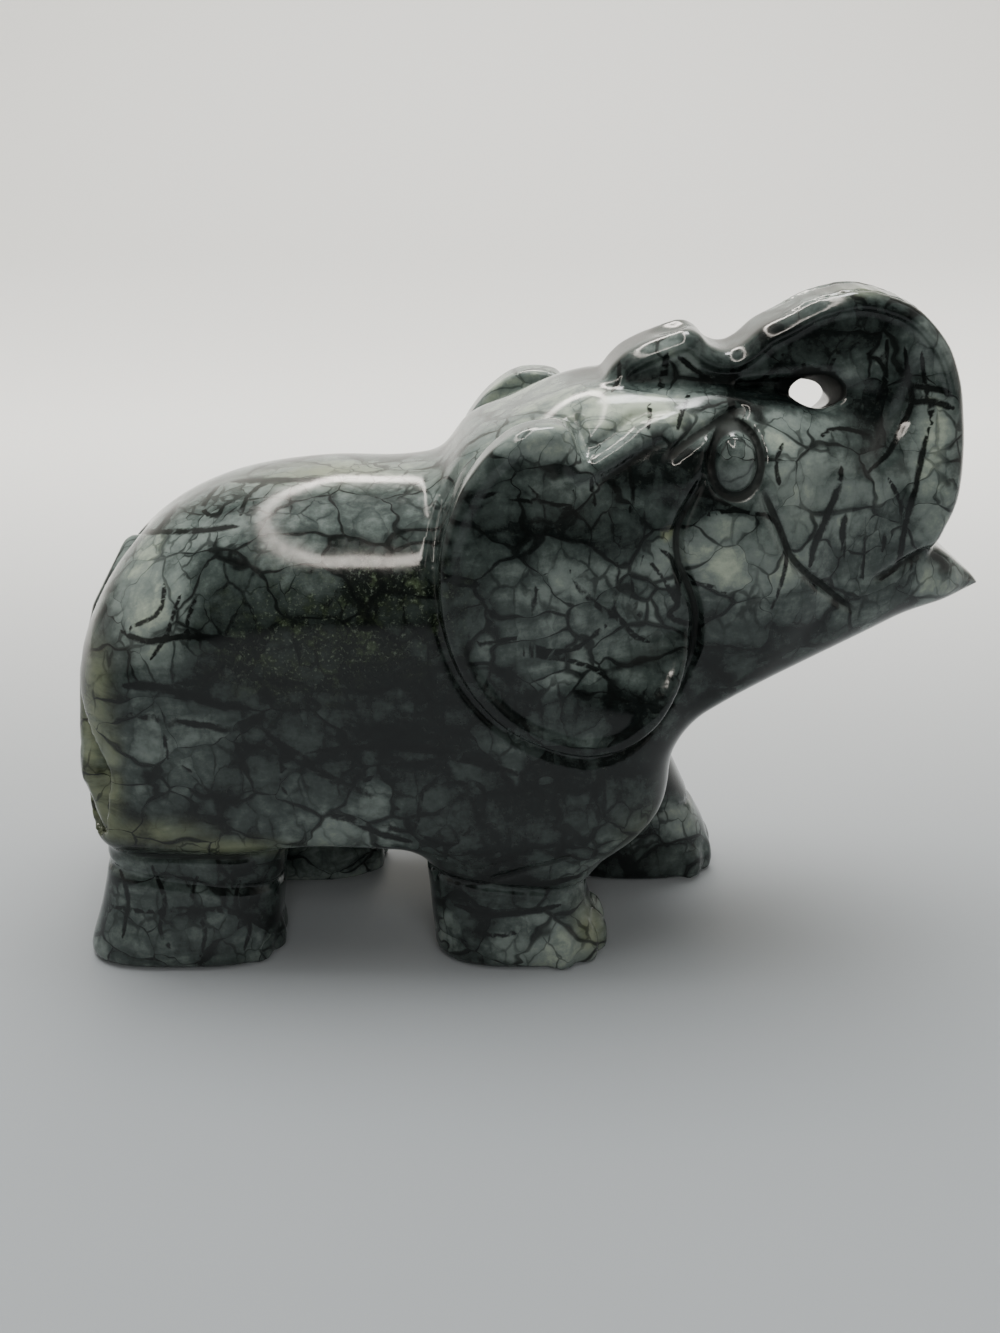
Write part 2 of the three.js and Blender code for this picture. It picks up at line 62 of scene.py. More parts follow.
# Body: outline of back, rump, belly and chest as (x, z)
BODY = (
    (-69.2, 30), (-70, 41), (-69.8, 51), (-67.3, 60), (-62, 68.6), (-54.2, 75.2), (-43.5, 79.6),
    (-30, 81.6), (-17, 81.7), (-9, 83.3), (0, 88), (14, 90), (24, 84), (28, 70), (29.5, 55),
    (29.6, 42), (26, 28), (12, 21.5), (-8, 21), (-30, 22), (-44, 20.5), (-58, 20.5), (-66, 22),
)

# Body's half width at its widest place, and how it narrows from there with the square of the
# distance: what it loses at a reach in x, and the reach in z at which it loses one mm
BODY_HALF = 27.6
BODY_WIDEST = {"x": -24, "z": 50, "x_reach": 48, "x_lost": 1.2, "z_reach": 30}

# Rounding of its edges: at the belly, then what each rise from one height to another adds
BODY_EDGE = 7
BODY_RISES = ((24, 38, 9), (48, 76, 9))

# Head and lower lip, without the trunk's loop, and the half width along x
HEAD = (
    (-7, 84), (2, 91), (12, 95.5), (22, 96.6), (45, 96.2), (58, 95), (70, 93), (73, 85), (72.5, 76),
    (71, 70.5), (76, 66.4), (81.8, 61.2), (80.8, 60.5), (70, 57.6), (60, 54), (50, 50), (40, 45.5),
    (30, 40), (16, 34), (4, 45), (-4, 65),
)
HEAD_HALF = (
    (-12, 25.5), (5, 24.5), (20, 22.5), (36, 20.6), (48, 17.5), (58, 14.2), (66, 11), (74, 7.4),
    (81, 2.4), (90, 1),
)

# Head is narrower at the throat. Its edges are rounder at the crown and sharper at the lip
THROAT = {"from": 66, "to": 40, "less": 3}
HEAD_EDGE = 7
CROWN = {"from": 74, "to": 92, "more": 11}
LIP = {"from": 66, "to": 80, "less": 0.6}
CHEEK = {"centre": (38, 15, 70), "radii": (13, 6.4, 17)}

# Trunk: from the tip on the brow, over the loop and down the front to the mouth
TRUNK = (
    (17, 97), (19, 100), (21.8, 101.8), (25.2, 103.2), (29.2, 104.5), (31.6, 103.8), (33.4, 102),
    (36, 101.2), (38.5, 102.2), (41.3, 104.7), (44.9, 106.6), (48.8, 108.8), (52.1, 109.9),
    (55.5, 110.6), (58.5, 110.5), (62, 109.6), (65.3, 108.2), (67.9, 106.2), (70.1, 103.8),
    (72, 101), (74, 95.6), (75, 89.2), (75, 83.8), (74.4, 77.7), (73, 73.5), (70.8, 69.8),
    (64, 68), (58, 72), (54, 84), (44, 92), (30, 93), (19, 93),
)

# Trunk's half width and what is added low down, its rim, and the dish inside the rim, which
# is shallower at the loop's middle and runs out low down
TRUNK_HALF = 8.6
TRUNK_FOOT = {"from": 92, "to": 78, "more": 3}
TRUNK_RIM = 2.2
TRUNK_DISH = {"depth": 1.5, "wall": 1, "least": 0.35, "middle": (-14, -3), "fades": (86, 97)}
NOSTRIL = {"centre": (25.8, 0, 105), "radii": (4.4, 5, 1.9)}

# Band along the outside of the curl, between two places on the trunk's outline: how far it
# fades past them, how deep in it fades out, its half width, its edge lines' half width and
# depth, and the wrinkles' pitch and depth and the margin in which they run out
BAND = {"from": (46, 107.2), "to": (74.9, 90), "fade": 3, "outside": (-5, -2), "half": 4.3,
        "line": 0.7, "depth": 0.7, "pitch": 3.1, "wrinkle": 0.28, "margin": 1.5}

# Ears: outline as (x, z), laid on the neck and the shoulder
EAR = (
    (-6.8, 82.5), (-9, 76), (-9.4, 68), (-8, 60), (-5, 53), (0, 47), (6.3, 43.1), (13, 41),
    (19.4, 41.8), (24.4, 45.3), (28, 50.6), (30.2, 55), (30.8, 60), (30.4, 64), (29, 68),
    (27.4, 72), (27, 76.5), (28.4, 81), (31, 86.5), (33.6, 91.4), (32.4, 94), (27, 93.6),
    (21.5, 92.2), (18, 90.2), (15, 88.6), (12.6, 88), (10.4, 92.6), (6.3, 93.4), (2, 92.4),
    (-2, 89.4), (-4.8, 86),
)

# Ear's face at its widest. Past an x it leans in by a slope that is steeper higher up. Above
# the top's and the fold's heights and below the foot's it bends in, by a share of the square
# of the way past, and the fold only comes in towards the face, between two places in x
EAR_OUT = 30.6
EAR_LEAN = {"x": 4, "slope": 0.1, "more": 0.24, "from": 46, "to": 62}
EAR_BENDS = {"top": (62, 0.0042), "foot": (52, 0.004), "fold": (86, 0.03), "front": (10, 16)}
EAR_THICK = 8
EAR_RIM = 1.6
EAR_DISH = {"depth": 0.9, "wall": 2}

# Legs as posts: (height, centre x, centre y, half length, half width), how square they are,
# how wide their fillets to the body are, and how far round a leg its fillet is worked out
FRONT_POWER = 2.6
REAR_POWER = 3
RIGHT_REAR = (
    (0, -54.9, -15, 16.6, 10.5), (3, -54.6, -15, 16.3, 10.3), (9, -53.3, -14.4, 15.7, 9.6),
    (16, -52.2, -13.8, 15.3, 9.4), (22, -51.5, -13.5, 15.6, 10), (34, -50.5, -13, 16, 11),
)
LEFT_REAR = (
    (0, -39.2, 15, 16.6, 10.5), (3, -39.2, 15, 16.3, 10.3), (9, -39.9, 14.6, 15.7, 9.8),
    (16, -40.6, 14.2, 15.3, 9.8), (22, -41.5, 14, 16, 10.6), (34, -44, 14, 18, 12),
)
RIGHT_FRONT = (
    (0, 3.2, -15, 14.6, 10.4), (3, 3.1, -15, 14.5, 10.3), (8, 2, -14.9, 13.9, 10),
    (13, 1.3, -14.8, 13.6, 9.9), (18, 2.6, -14.6, 15.6, 11), (24, 4.6, -14.6, 19.4, 12.2),
    (32, 5.2, -14.2, 20.4, 12.4), (44, 4, -12, 18, 11),
)
LEFT_FRONT = (
    (0, 25.4, 15.2, 14.4, 10.2), (4, 25.5, 15.2, 14.4, 10.1), (8, 24.8, 15.1, 14.2, 9.9),
    (13, 22.4, 15, 14, 9.8), (18, 19.2, 14.8, 14.8, 10.6), (25, 14.6, 14.6, 16.4, 11.8),
    (34, 9.4, 14.2, 19, 12.2), (46, 5, 12, 18, 11),
)
LEG_MARGIN = 8
LEGS = (
    (RIGHT_FRONT, FRONT_POWER, 5), (LEFT_FRONT, FRONT_POWER, 5),
    (RIGHT_REAR, REAR_POWER, 1.6), (LEFT_REAR, REAR_POWER, 1.6),
)

# Toenails round the front of a foot: angles from straight ahead in degrees, outer side first
FRONT_TOES = (-62, -36, -10, 16, 42)
REAR_TOES = (-34, -8, 18)
TOE = {"radius": (2.8, 2.8, 5.2), "height": 2.2, "out": 1.1, "margin": 7}

# Ring line round each ankle: height, fall towards the front, half width and depth
ANKLE = {"height": 15.4, "fall": 0.12, "half": 1.1, "depth": 0.8}

# Hole through the curl: it drops towards the left side, with a crack running back from it
HOLE = {"x": 50.6, "z": 95.4, "radii": (3.9, 2.7), "drop": 0.25}
CRACK = {"from": (37.5, 0, 96), "to": (48, 0, 95.6), "radii": (0.3, 1.6), "floor": 4}

# Eye: a low dome, and the groove round it at a share of its radii
EYE = {"centre": (36.2, 19.3, 86.6), "radii": (3.2, 2.4, 4.1), "ring": 1.22, "half": 0.3,
       "depth": 1.5}

# Small chip on the right ear's front edge
CHIP = {"x": 25.9, "z": 76.1, "reach": 1.3, "depth": 0.5}

# Tail from the rump to its tuft on the right rear corner: (x, y, z, radius)
TAIL = (
    (-61.5, -1, 67, 2.6), (-65.8, -7, 58.5, 2.6), (-67.2, -13, 50, 2.6), (-66.8, -17, 42, 2.8),
    (-65.9, -19.6, 35, 3.5), (-64.4, -21.4, 27.5, 1.8),
)
TAIL_BOX = ((LOW[0], -29, 20), (-50, 8, 75))
TAIL_GROOVE = {"out": 0.9, "half": 1.3, "depth": 1.2}
TUFT = {"below": 44, "fade": 6, "pitch": 2.2, "depth": 0.16}
EAR_GROOVE = {"out": 0.9, "half": 1.2, "depth": 0.8}

# Carved lines seen from the side: (x, z) points, half width and depth (below zero is a ridge)
LINES = (
    (((39.5, 84.5), (41.2, 81), (43.4, 76.4), (45.4, 72), (48.2, 68.8), (52, 65.4), (56, 62),
      (61, 59)), 1.2, 1.2),
    (((66.5, 102), (66.4, 98), (65.2, 94), (63, 89.6), (60.6, 86.2), (57, 82.4)), 2.8, 1.0),
    (((24.8, 86.6), (27.4, 88.8), (31, 90.8), (35.6, 92.8), (39, 93.4)), 1.3, 1.1),
    (((26.8, 86.0), (29.4, 88.0), (32.6, 89.8), (36.6, 91.4)), 0.7, -0.4),
    (((14, 84.4), (18.4, 86.4), (22.6, 88.8), (27, 89.8)), 1.3, 0.6),
    (((60, 65.6), (63.4, 66.9), (67, 68.6), (70.4, 70.2)), 1.1, 0.8),
    (((32.4, 86), (29, 80.4), (27.4, 76.5), (27.6, 72), (29.2, 68), (30.6, 64), (31, 60),
      (30.4, 55), (28.4, 50.8)), 1.2, 1.1),
    (((-3, 16.8), (3.3, 19.3), (8.2, 21.1), (13, 22.8)), 1.1, 0.7),
    (((-5, 19), (1, 21.6), (6, 23.6)), 1.0, 0.35),
    (((-64, 20.6), (-52, 20.6), (-40, 20)), 1.2, 0.9),
)

# The photograph's camera: its height and its distance from the middle plane in mm, how far it
# looks down in degrees, and the focal length and middle of the picture in pixels
LENS = {"height": 147.5, "back": 259, "pitch": 21.5, "focal": 1600, "middle": (500, 666.5)}
SENSOR = 36

# A pixel's width in mm at the near flank, and the least width in mm at which the mesh still
# holds a drawn vein together
PX_TO_MM = 0.175
VEIN_LEAST = 0.6

# Where the near side's marks fade in: across the middle plane, and over the neck's top,
# from one height to another and from one x to another
NEAR = {"y": (6, -4), "z": (84, 88), "x": (14, 8)}

# A vein's distance, in its widths, where there is none, and how soon a drawn tone takes over
NO_VEIN = 9
TONE_HOLD = 2.5

# Painted shade in the grooves: its widest reach in mm round a carved line's bottom, and the
# shares of the hole's radii between which it comes in on the hole's wall
SHADE_REACH = 0.9
HOLE_SHADE = (1.8, 1.2)

# Rounding in mm where a form joins another or is cut off
EDGE = {
    "cheek": 4, "neck": 5, "leg_end": 2, "ear": 1.8, "ear_back": 1, "ear_root": 0.8,
    "trunk": 4.5, "nostril": 0.8, "trunk_root": 2, "crack": 0.5, "hole": 1, "eye": 0.2,
    "tail": 0.4, "toe": 0.3,
}

# Carved lines keep this far from the middle plane, and the chip this far out on the right
LINES_OUT = 6
CHIP_OUT = 10

# Black veins on the near side, drawn in the photograph's pixels: width in mm, then points
VEINS = (
    (0.6, ((540, 649), (534, 614), (536, 590), (547, 573))),
    (0.8, ((571, 570), (581, 590), (602, 609), (619, 618), (633, 635), (650, 642))),
    (0.7, ((468, 611), (488, 618), (509, 635), (540, 649), (571, 650), (598, 632), (616, 614))),
    (0.7, ((468, 635), (492, 652), (536, 656), (560, 659), (595, 669), (622, 694))),
    (0.8, ((612, 552), (619, 580), (612, 607))),
    (0.6, ((643, 556), (633, 580), (636, 611), (650, 625))),
    (0.5, ((647, 559), (664, 580), (674, 601))),
    (0.8, ((660, 549), (674, 563), (678, 601), (669, 614), (678, 621), (695, 625))),
    (0.5, ((526, 484), (543, 501), (571, 508), (574, 490))),
    (0.5, ((478, 500), (495, 494), (526, 501), (543, 501))),
    (0.5, ((592, 477), (593, 497), (600, 512))),
    (0.5, ((612, 477), (616, 494))),
    (0.6, ((629, 463), (633, 494), (630, 515))),
    (0.5, ((688, 582), (715, 588), (736, 602))),
    (0.6, ((667, 482), (695, 494), (705, 495), (726, 504), (740, 511), (771, 518), (784, 542),
           (786, 563), (779, 590), (770, 612))),
    (0.6, ((705, 516), (722, 512), (740, 511))),
    (1.0, ((842, 466), (836, 494), (826, 518), (815, 545), (810, 566))),
    (0.8, ((857, 490), (843, 525), (845, 552), (850, 566), (866, 580))),
    (0.8, ((905, 346), (908, 380), (912, 401), (901, 428), (888, 453), (867, 473))),
    (0.8, ((929, 428), (922, 456), (915, 490), (905, 525), (898, 563), (880, 580))),
    (0.6, ((888, 477), (898, 497), (901, 511), (890, 532))),
    (0.6, ((867, 494), (874, 518), (884, 535), (882, 552))),
    (0.5, ((819, 439), (829, 430), (846, 429), (870, 435))),
    (0.5, ((784, 442), (776, 463), (781, 490))),
    (0.6, ((760, 380), (774, 370), (784, 353))),
    (0.5, ((802, 356), (805, 373))),
    (0.6, ((836, 356), (829, 373), (843, 390))),
    (0.8, ((864, 351), (884, 366), (884, 387), (876, 402))),
    (0.6, ((888, 335), (886, 366))),
    (1.0, ((912, 403), (930, 401), (953, 408))),
    (0.9, ((908, 385), (928, 388), (950, 392))),
    (0.6, ((921, 349), (925, 383), (932, 425))),
    (1.1, ((733, 370), (731, 395), (733, 418))),
    (0.8, ((678, 356), (695, 370), (715, 384))),
    (0.9, ((667, 353), (664, 373), (660, 390))),
    (0.6, ((619, 360), (619, 377), (612, 392))),
    (0.6, ((647, 390), (650, 415), (647, 432))),
    (0.7, ((691, 390), (681, 415), (678, 430))),
    (0.9, ((121, 631), (146, 641), (188, 636), (213, 638), (239, 641))),
    (1.3, ((124, 686), (156, 687), (188, 695), (239, 711), (275, 735))),
    (0.9, ((130, 714), (172, 721), (213, 727), (239, 733))),
    (0.6, ((181, 593), (172, 619), (165, 638), (150, 660))),
    (0.6, ((197, 596), (188, 619), (186, 650))),
    (0.5, ((165, 580), (159, 612), (129, 628))),
    (0.7, ((229, 481), (283, 480), (334, 480))),
    (0.5, ((219, 485), (203, 507), (216, 517), (226, 500))),
    (0.5, ((181, 497), (170, 514), (156, 532))),
    (0.8, ((133, 532), (194, 531), (239, 526))),
    (0.5, ((240, 517), (246, 500), (262, 484))),
    (0.6, ((411, 784), (398, 813), (392, 826), (414, 829), (423, 791), (436, 784))),
    (0.5, ((436, 784), (478, 784), (484, 803), (476, 826))),
    (0.5, ((476, 822), (452, 845), (420, 835))),
    (0.9, ((321, 800), (325, 819), (344, 816), (376, 832), (411, 842))),
    (1.1, ((264, 733), (302, 759), (321, 772), (360, 794), (398, 810))),
    (1.2, ((315, 752), (379, 746), (427, 749), (475, 762), (520, 775))),
    (0.5, ((178, 765), (191, 778), (200, 797))),
    (0.5, ((172, 721), (165, 737), (170, 760), (190, 770))),
    (0.6, ((262, 735), (280, 748), (284, 790), (300, 815))),
    (0.6, ((360, 794), (372, 775), (380, 760))),
    (0.7, ((470, 885), (500, 880), (540, 884), (580, 876))),
    (0.8, ((455, 905), (490, 914), (530, 912), (560, 905))),
    (0.5, ((120, 870), (128, 900), (122, 940))),
    (0.5, ((150, 862), (165, 900), (160, 930), (176, 955))),
    (0.5, ((200, 870), (192, 900), (205, 930), (200, 958))),
    (0.5, ((240, 880), (236, 905), (250, 925), (244, 950))),
    (0.5, ((105, 905), (150, 912), (200, 908), (262, 918))),
    (0.5, ((470, 930), (500, 936), (520, 930))),
)

# How pale the stone looks round places in the photograph: (u, v), reach in pixels, tone from
# 0, black, to 1, the palest cells. Besides the stone's own pale and black patches, it holds
# painted light on the tops of back, neck and head, where light from above falls, and
# painted shade on the trunk's side turned away from it
TONES_AND_PAINTED_LIGHT = (
    (742, 558, 44, 44, 0.8), (797, 500, 18, 40, 0.8), (446, 814, 30, 24, 0.5),
    (557, 600, 17, 30, 0.62), (600, 590, 20, 30, 0.42), (640, 415, 60, 20, 1.0),
    (545, 440, 60, 18, 0.85), (662, 355, 30, 16, 0.75), (700, 650, 60, 20, 0.3),
    (860, 600, 30, 18, 0.55), (938, 585, 28, 16, 0.9), (934, 450, 18, 70, 0.85),
    (870, 370, 26, 18, 0.5), (148, 610, 32, 60, 0.9), (300, 472, 130, 20, 0.8),
    (170, 530, 60, 30, 0.7), (180, 755, 40, 35, 0.5), (290, 800, 24, 18, 0.5),
    (375, 805, 22, 16, 0.5), (190, 905, 80, 40, 0.25), (490, 836, 60, 30, 0.16),
    (600, 800, 50, 40, 0.2), (540, 790, 60, 30, 0.12), (535, 952, 50, 14, 0.75),
    (520, 400, 60, 20, 0.7),
    (500, 640, 30, 18, 0.6), (560, 675, 60, 12, 0.62), (655, 600, 24, 50, 0.55),
    (740, 468, 20, 20, 0.62), (780, 430, 40, 16, 0.7), (860, 510, 34, 34, 0.75),
    (350, 520, 70, 34, 0.3), (760, 360, 26, 22, 0.3),
    (350, 650, 110, 55, 0.08), (235, 690, 60, 26, 0.06), (420, 725, 90, 36, 0.0),
    (515, 535, 60, 34, 0.2), (570, 715, 70, 22, 0.1), (458, 640, 14, 60, 0.03),
    (820, 330, 70, 22, 0.06), (640, 470, 34, 18, 0.1), (868, 562, 34, 24, 0.14),
    (650, 740, 40, 30, 0.15), (500, 885, 60, 20, 0.14), (350, 770, 90, 20, 0.2),
    (600, 540, 60, 26, 0.16), (640, 370, 22, 14, 0.16), (770, 395, 40, 14, 0.05),
    (100, 620, 12, 60, 0.3), (880, 420, 24, 40, 0.15), (535, 385, 50, 22, 0.85),
)

# Patches of moss and of olive: (u, v) and reach in pixels
MOSS = ((335, 622, 90, 48), (285, 660, 50, 34), (400, 600, 50, 36))
OLIVE = (
    (90, 760, 12, 60), (96, 690, 12, 40), (112, 775, 9, 45), (150, 832, 44, 10),
    (230, 847, 50, 7), (590, 930, 14, 24), (868, 286, 40, 8), (680, 850, 40, 30),
    (96, 812, 20, 22), (320, 470, 80, 14),
)

# Settings of the shader nodes that are used more than once
PLUS = {"operation": "ADD"}
MINUS = {"operation": "SUBTRACT"}
TIMES = {"operation": "MULTIPLY"}
OVER = {"operation": "DIVIDE"}
LARGER = {"operation": "MAXIMUM"}
SCALED = {"operation": "SCALE"}
SMOOTH = {"interpolation_type": "SMOOTHSTEP"}
COLOURS = {"data_type": "RGBA"}
PLAIN_NOISE = {"Detail": 2, "Roughness": 0.55}

# Colours of the stone: its darkest, each paler one with the tones it comes in over, then the
# patches in it and its veins
DARKEST = "#0b100f"
PALER = (("#333b38", 0.02, 0.36), ("#636c67", 0.3, 0.68), ("#98a18f", 0.62, 1.05))
MOSS_DARK = "#161c14"
MOSS_PALE = "#39432f"
FLECK = "#747e70"
OLIVE_GREEN = "#747a5f"
BLACK = "#070a09"

# Two nets of cells in the stone: size and bend of the edges in mm, turn in degrees, stretch;
# then the black lines on their edges: how often they thicken and their half width, in mm
BIG_CELLS = (9.5, 2.8, (15, 35, 10), (0.8, 1, 1.15))
SMALL_CELLS = (4.4, 1.4, (10, -25, 0), (1, 1, 0.7))
BIG_LINES = (9, 0.6)
SMALL_LINES = (6, 0.32)

# Noises in the stone: wave in mm, detail, roughness and twist
GRAIN = {
    "cloud": (20, 4, 0.6, 0.5), "fine": (1.6, 5, 0.7, 0), "wisps": (9, 5, 0.65, 0.8),
    "mottle": (2.4, 4, 0.7, 0), "fleck": (0.6, 4, 0.7, 0), "crowd": (12, 2, 0.55, 0),
}

# Gloss: serpentine's refractive index, and its mirroring, where 0.5 is a perfect polish
STONE_IOR = 1.56
STONE_GLOSS = 0.34

# Floor and its sweep up behind in mm. Its colour under the object, then each one that takes
# over along an axis, between two places in metres: pale behind, then painted shade, dark far
# in front and greyer high up
SWEEP = {"front": 2500, "bend": 900, "radius": 600, "top": 2200, "side": 2500, "parts": 17,
         "under": 0.1}
CARD_UNDER = "#868a8c"
CARD_BANDS_AND_SHADE = (("Y", -0.06, 0.42, "#f0eee8"), ("Y", -0.22, -0.7, "#2c2e30"),
              ("Z", 0.05, 0.8, "#c6c5bd"))
ROOM = {"colour": "#e6e4de", "strength": 0.9}

# Lamp's band: outer and inner edge, each a middle and half sizes, and its height, in mm,
# how many parts it is drawn in, and its strength and colour
RING = {"ovals": (((-85, 155), (112, 525)), ((-85, 118), (94, 392))), "height": 480,
        "parts": 96, "strength": 20, "colour": "#fff6ec"}

# Area lights: name, shape, place, target and size in mm, and watts
AIM = (0, 0, 55)
LAMPS = (
    ("soft light above", "SQUARE", (-60, 100, 700), AIM, 700, 5),
    ("soft light in front", "SQUARE", (80, -620, 420), AIM, 400, 2.2),
    ("soft light on the sweep", "SQUARE", (0, 400, 1300), (0, 1250, 100), 1200, 34),
    ("round lamp over the head", "DISK", (60, 300, 520), (20, 0, 90), 140, 0.9),
)


def ramp(lo, hi, v):
    """Rises smoothly from 0 to 1 as v goes from lo to hi: 3t squared less 2t cubed."""
    t = np.clip((v - lo) / (hi - lo), 0, 1)
    return t * t * (3 - 2 * t)


def join(a, b, k):
    """The smaller of two fields, less a fillet: (k - their gap) squared over 4k."""
    h = np.maximum(k - np.abs(a - b), 0) / k
    return np.minimum(a, b) - h * h * k * 0.25


def meet(a, b, k):
    """The larger of two fields, with an edge rounded about k wide."""
    return -join(-a, -b, k)


def curve(points, closed=False, steps=6):
    """Points of the Catmull-Rom curve through the given points: a cubic for each stretch."""
    p = np.asarray(points, float)
    ends = (p[-1:], p[:2]) if closed else (p[:1], p[-1:])
    p = np.concatenate([ends[0], p, ends[1]])
    t = (np.arange(steps) / steps)[None, :, None]
    a, b, c, d = (p[i:len(p) - 3 + i, None, :] for i in range(4))
    out = 0.5 * (2 * b + (c - a) * t + (2 * a - 5 * b + 4 * c - d) * t ** 2
                 + (3 * b - a - 3 * c + d) * t ** 3)
    out = out.reshape(-1, p.shape[1])
    return out if closed else np.concatenate([out, p[-1:]])


def stretch(x, z, a, b):
    """Squared distance to the stretch from a to b, and how far along it, from 0 to 1."""
    ex, ez = b[0] - a[0], b[1] - a[1]
    t = np.clip(((x - a[0]) * ex + (z - a[1]) * ez) / max(ex * ex + ez * ez, 1e-12), 0, 1)
    return (x - a[0] - t * ex) ** 2 + (z - a[1] - t * ez) ** 2, t


def path_distance(path, x, z, taper=0.2):
    """Distance to an open path, and how full the path is there: it thins to 0 at its ends."""
    best = np.full(np.broadcast(x, z).shape, np.inf)
    full = np.zeros(best.shape)
    last = len(path) - 1
    for i in range(last):
        gap, t = stretch(x, z, path[i], path[i + 1])
        share = (i + t) / last
        near = gap < best
        full = np.where(near, np.minimum(ramp(0, taper, share), ramp(1, 1 - taper, share)), full)
        best = np.where(near, gap, best)
    return np.sqrt(best), full


def outline_distance(outline, x, z):
    """Distance to a closed outline, below zero inside, and the length round it to the place."""
    best = np.full(np.broadcast(x, z).shape, np.inf)
    inside = np.zeros(best.shape, bool)
    round_to = np.zeros(best.shape)
    run = 0.0
    for a, b in zip(outline, np.roll(outline, -1, axis=0)):
        gap, t = stretch(x, z, a, b)
        length = np.hypot(*(b - a))
        round_to = np.where(gap < best, run + t * length, round_to)
        best = np.minimum(best, gap)
        run += length
        if a[1] != b[1]:
            level = ((a[1] > z) != (b[1] > z))
            inside ^= level & (x < (b[0] - a[0]) * (z - a[1]) / (b[1] - a[1]) + a[0])
    best = np.sqrt(best)
    return np.where(inside, -best, best), round_to


def column(table, index, v):
    """One column of a smoothed table, read at v of its first column."""
    rows = curve(table)
    return np.interp(v, rows[:, 0], rows[:, index])


def egg(x, y, z, centre, radii):
    """Distance, near enough, to an egg: its level less one, over the level's slope."""
    q = [(v - c) / r for v, c, r in zip((x, y, z), centre, radii)]
    level = np.sqrt(sum(v * v for v in q)) + 1e-9
    slope = np.sqrt(sum((v / r) ** 2 for v, r in zip(q, radii))) + 1e-9
    return (level - 1) * level / slope


def rod(x, y, z, a, b, ra, rb):
    """Distance to a rod with round ends whose radius goes from ra at a to rb at b."""
    e = np.subtract(b, a)
    t = ((x - a[0]) * e[0] + (y - a[1]) * e[1] + (z - a[2]) * e[2]) / (e @ e)
    t = np.clip(t, 0, 1)
    gap = (x - a[0] - t * e[0]) ** 2 + (y - a[1] - t * e[1]) ** 2 + (z - a[2] - t * e[2]) ** 2
    return np.sqrt(gap) - (ra + (rb - ra) * t)


def post(x, y, z, table, power):
    """A post of rounded-square section that slides and swells with height, ringed at the ankle."""
    top = table[-1][0]
    h = np.clip(z, 0, top)
    cx, cy, hx, hy = (column(table, i, h) for i in (1, 2, 3, 4))
    qx, qy = np.abs(x - cx) / hx + 1e-6, np.abs(y - cy) / hy + 1e-6
    level = (qx ** power + qy ** power) ** (1 / power)
    slope = np.hypot(qx ** (power - 1) / hx, qy ** (power - 1) / hy)
    line = np.abs(z - ANKLE["height"] + ANKLE["fall"] * (x - cx))
    side = (level - 1) * level ** (power - 1) / slope
    side = side + ANKLE["depth"] * ramp(ANKLE["half"], 0, line)
    return meet(side, np.maximum(z - top, -z), EDGE["leg_end"])


def toes(table, angles, side):
    """Where a foot's nails sit: on the rounded square of its sole, a little way in."""
    _, cx, cy, hx, hy = table[0]
    inset = TOE["radius"][0] - TOE["out"]
    a = np.radians(angles) * side
    c, s = (np.sign(v) * np.abs(v) ** (2 / FRONT_POWER) for v in (np.cos(a), np.sin(a)))
    return [(px, py, TOE["height"])
            for px, py in zip(cx + (hx - inset) * c, cy + (hy - inset) * s)]


def ear_face(x, z):
    """How far out an ear's face lies: its greatest width, less a lean along x, less bends that
    grow with the square of the height past a place.
    """
    lean = EAR_LEAN["slope"] + EAR_LEAN["more"] * ramp(EAR_LEAN["from"], EAR_LEAN["to"], z)
    (top, top_bend), (foot, foot_bend), (crease, crease_bend), front = EAR_BENDS.values()
    fold = crease_bend * np.maximum(z - crease, 0) ** 2 * ramp(*front, x)
    return (EAR_OUT - lean * np.maximum(x - EAR_LEAN["x"], 0)
            - top_bend * np.maximum(z - top, 0) ** 2
            - foot_bend * np.maximum(foot - z, 0) ** 2 - fold)


def eye_ring(x, side, z):
    """Depth of the groove round an eye: an oval at a share of the eye's own radii."""
    ex, ey, ez = EYE["centre"]
    spot = np.hypot((x - ex) / EYE["radii"][0], (z - ez) / EYE["radii"][2])
    ring = EYE["depth"] * ramp(EYE["half"], 0, np.abs(spot - EYE["ring"]))
    return np.where(side > ey / 2, ring, 0)


def part_of(axes, lo, hi):
    """Slices of the grid and the axes cut to a box, so that small forms cost little."""
    cut = tuple(slice(*np.searchsorted(a.ravel(), (l, h))) for a, l, h in zip(axes, lo, hi))
    x, y, z = axes
    return cut, (x[cut[0]], y[:, cut[1]], z[:, :, cut[2]])


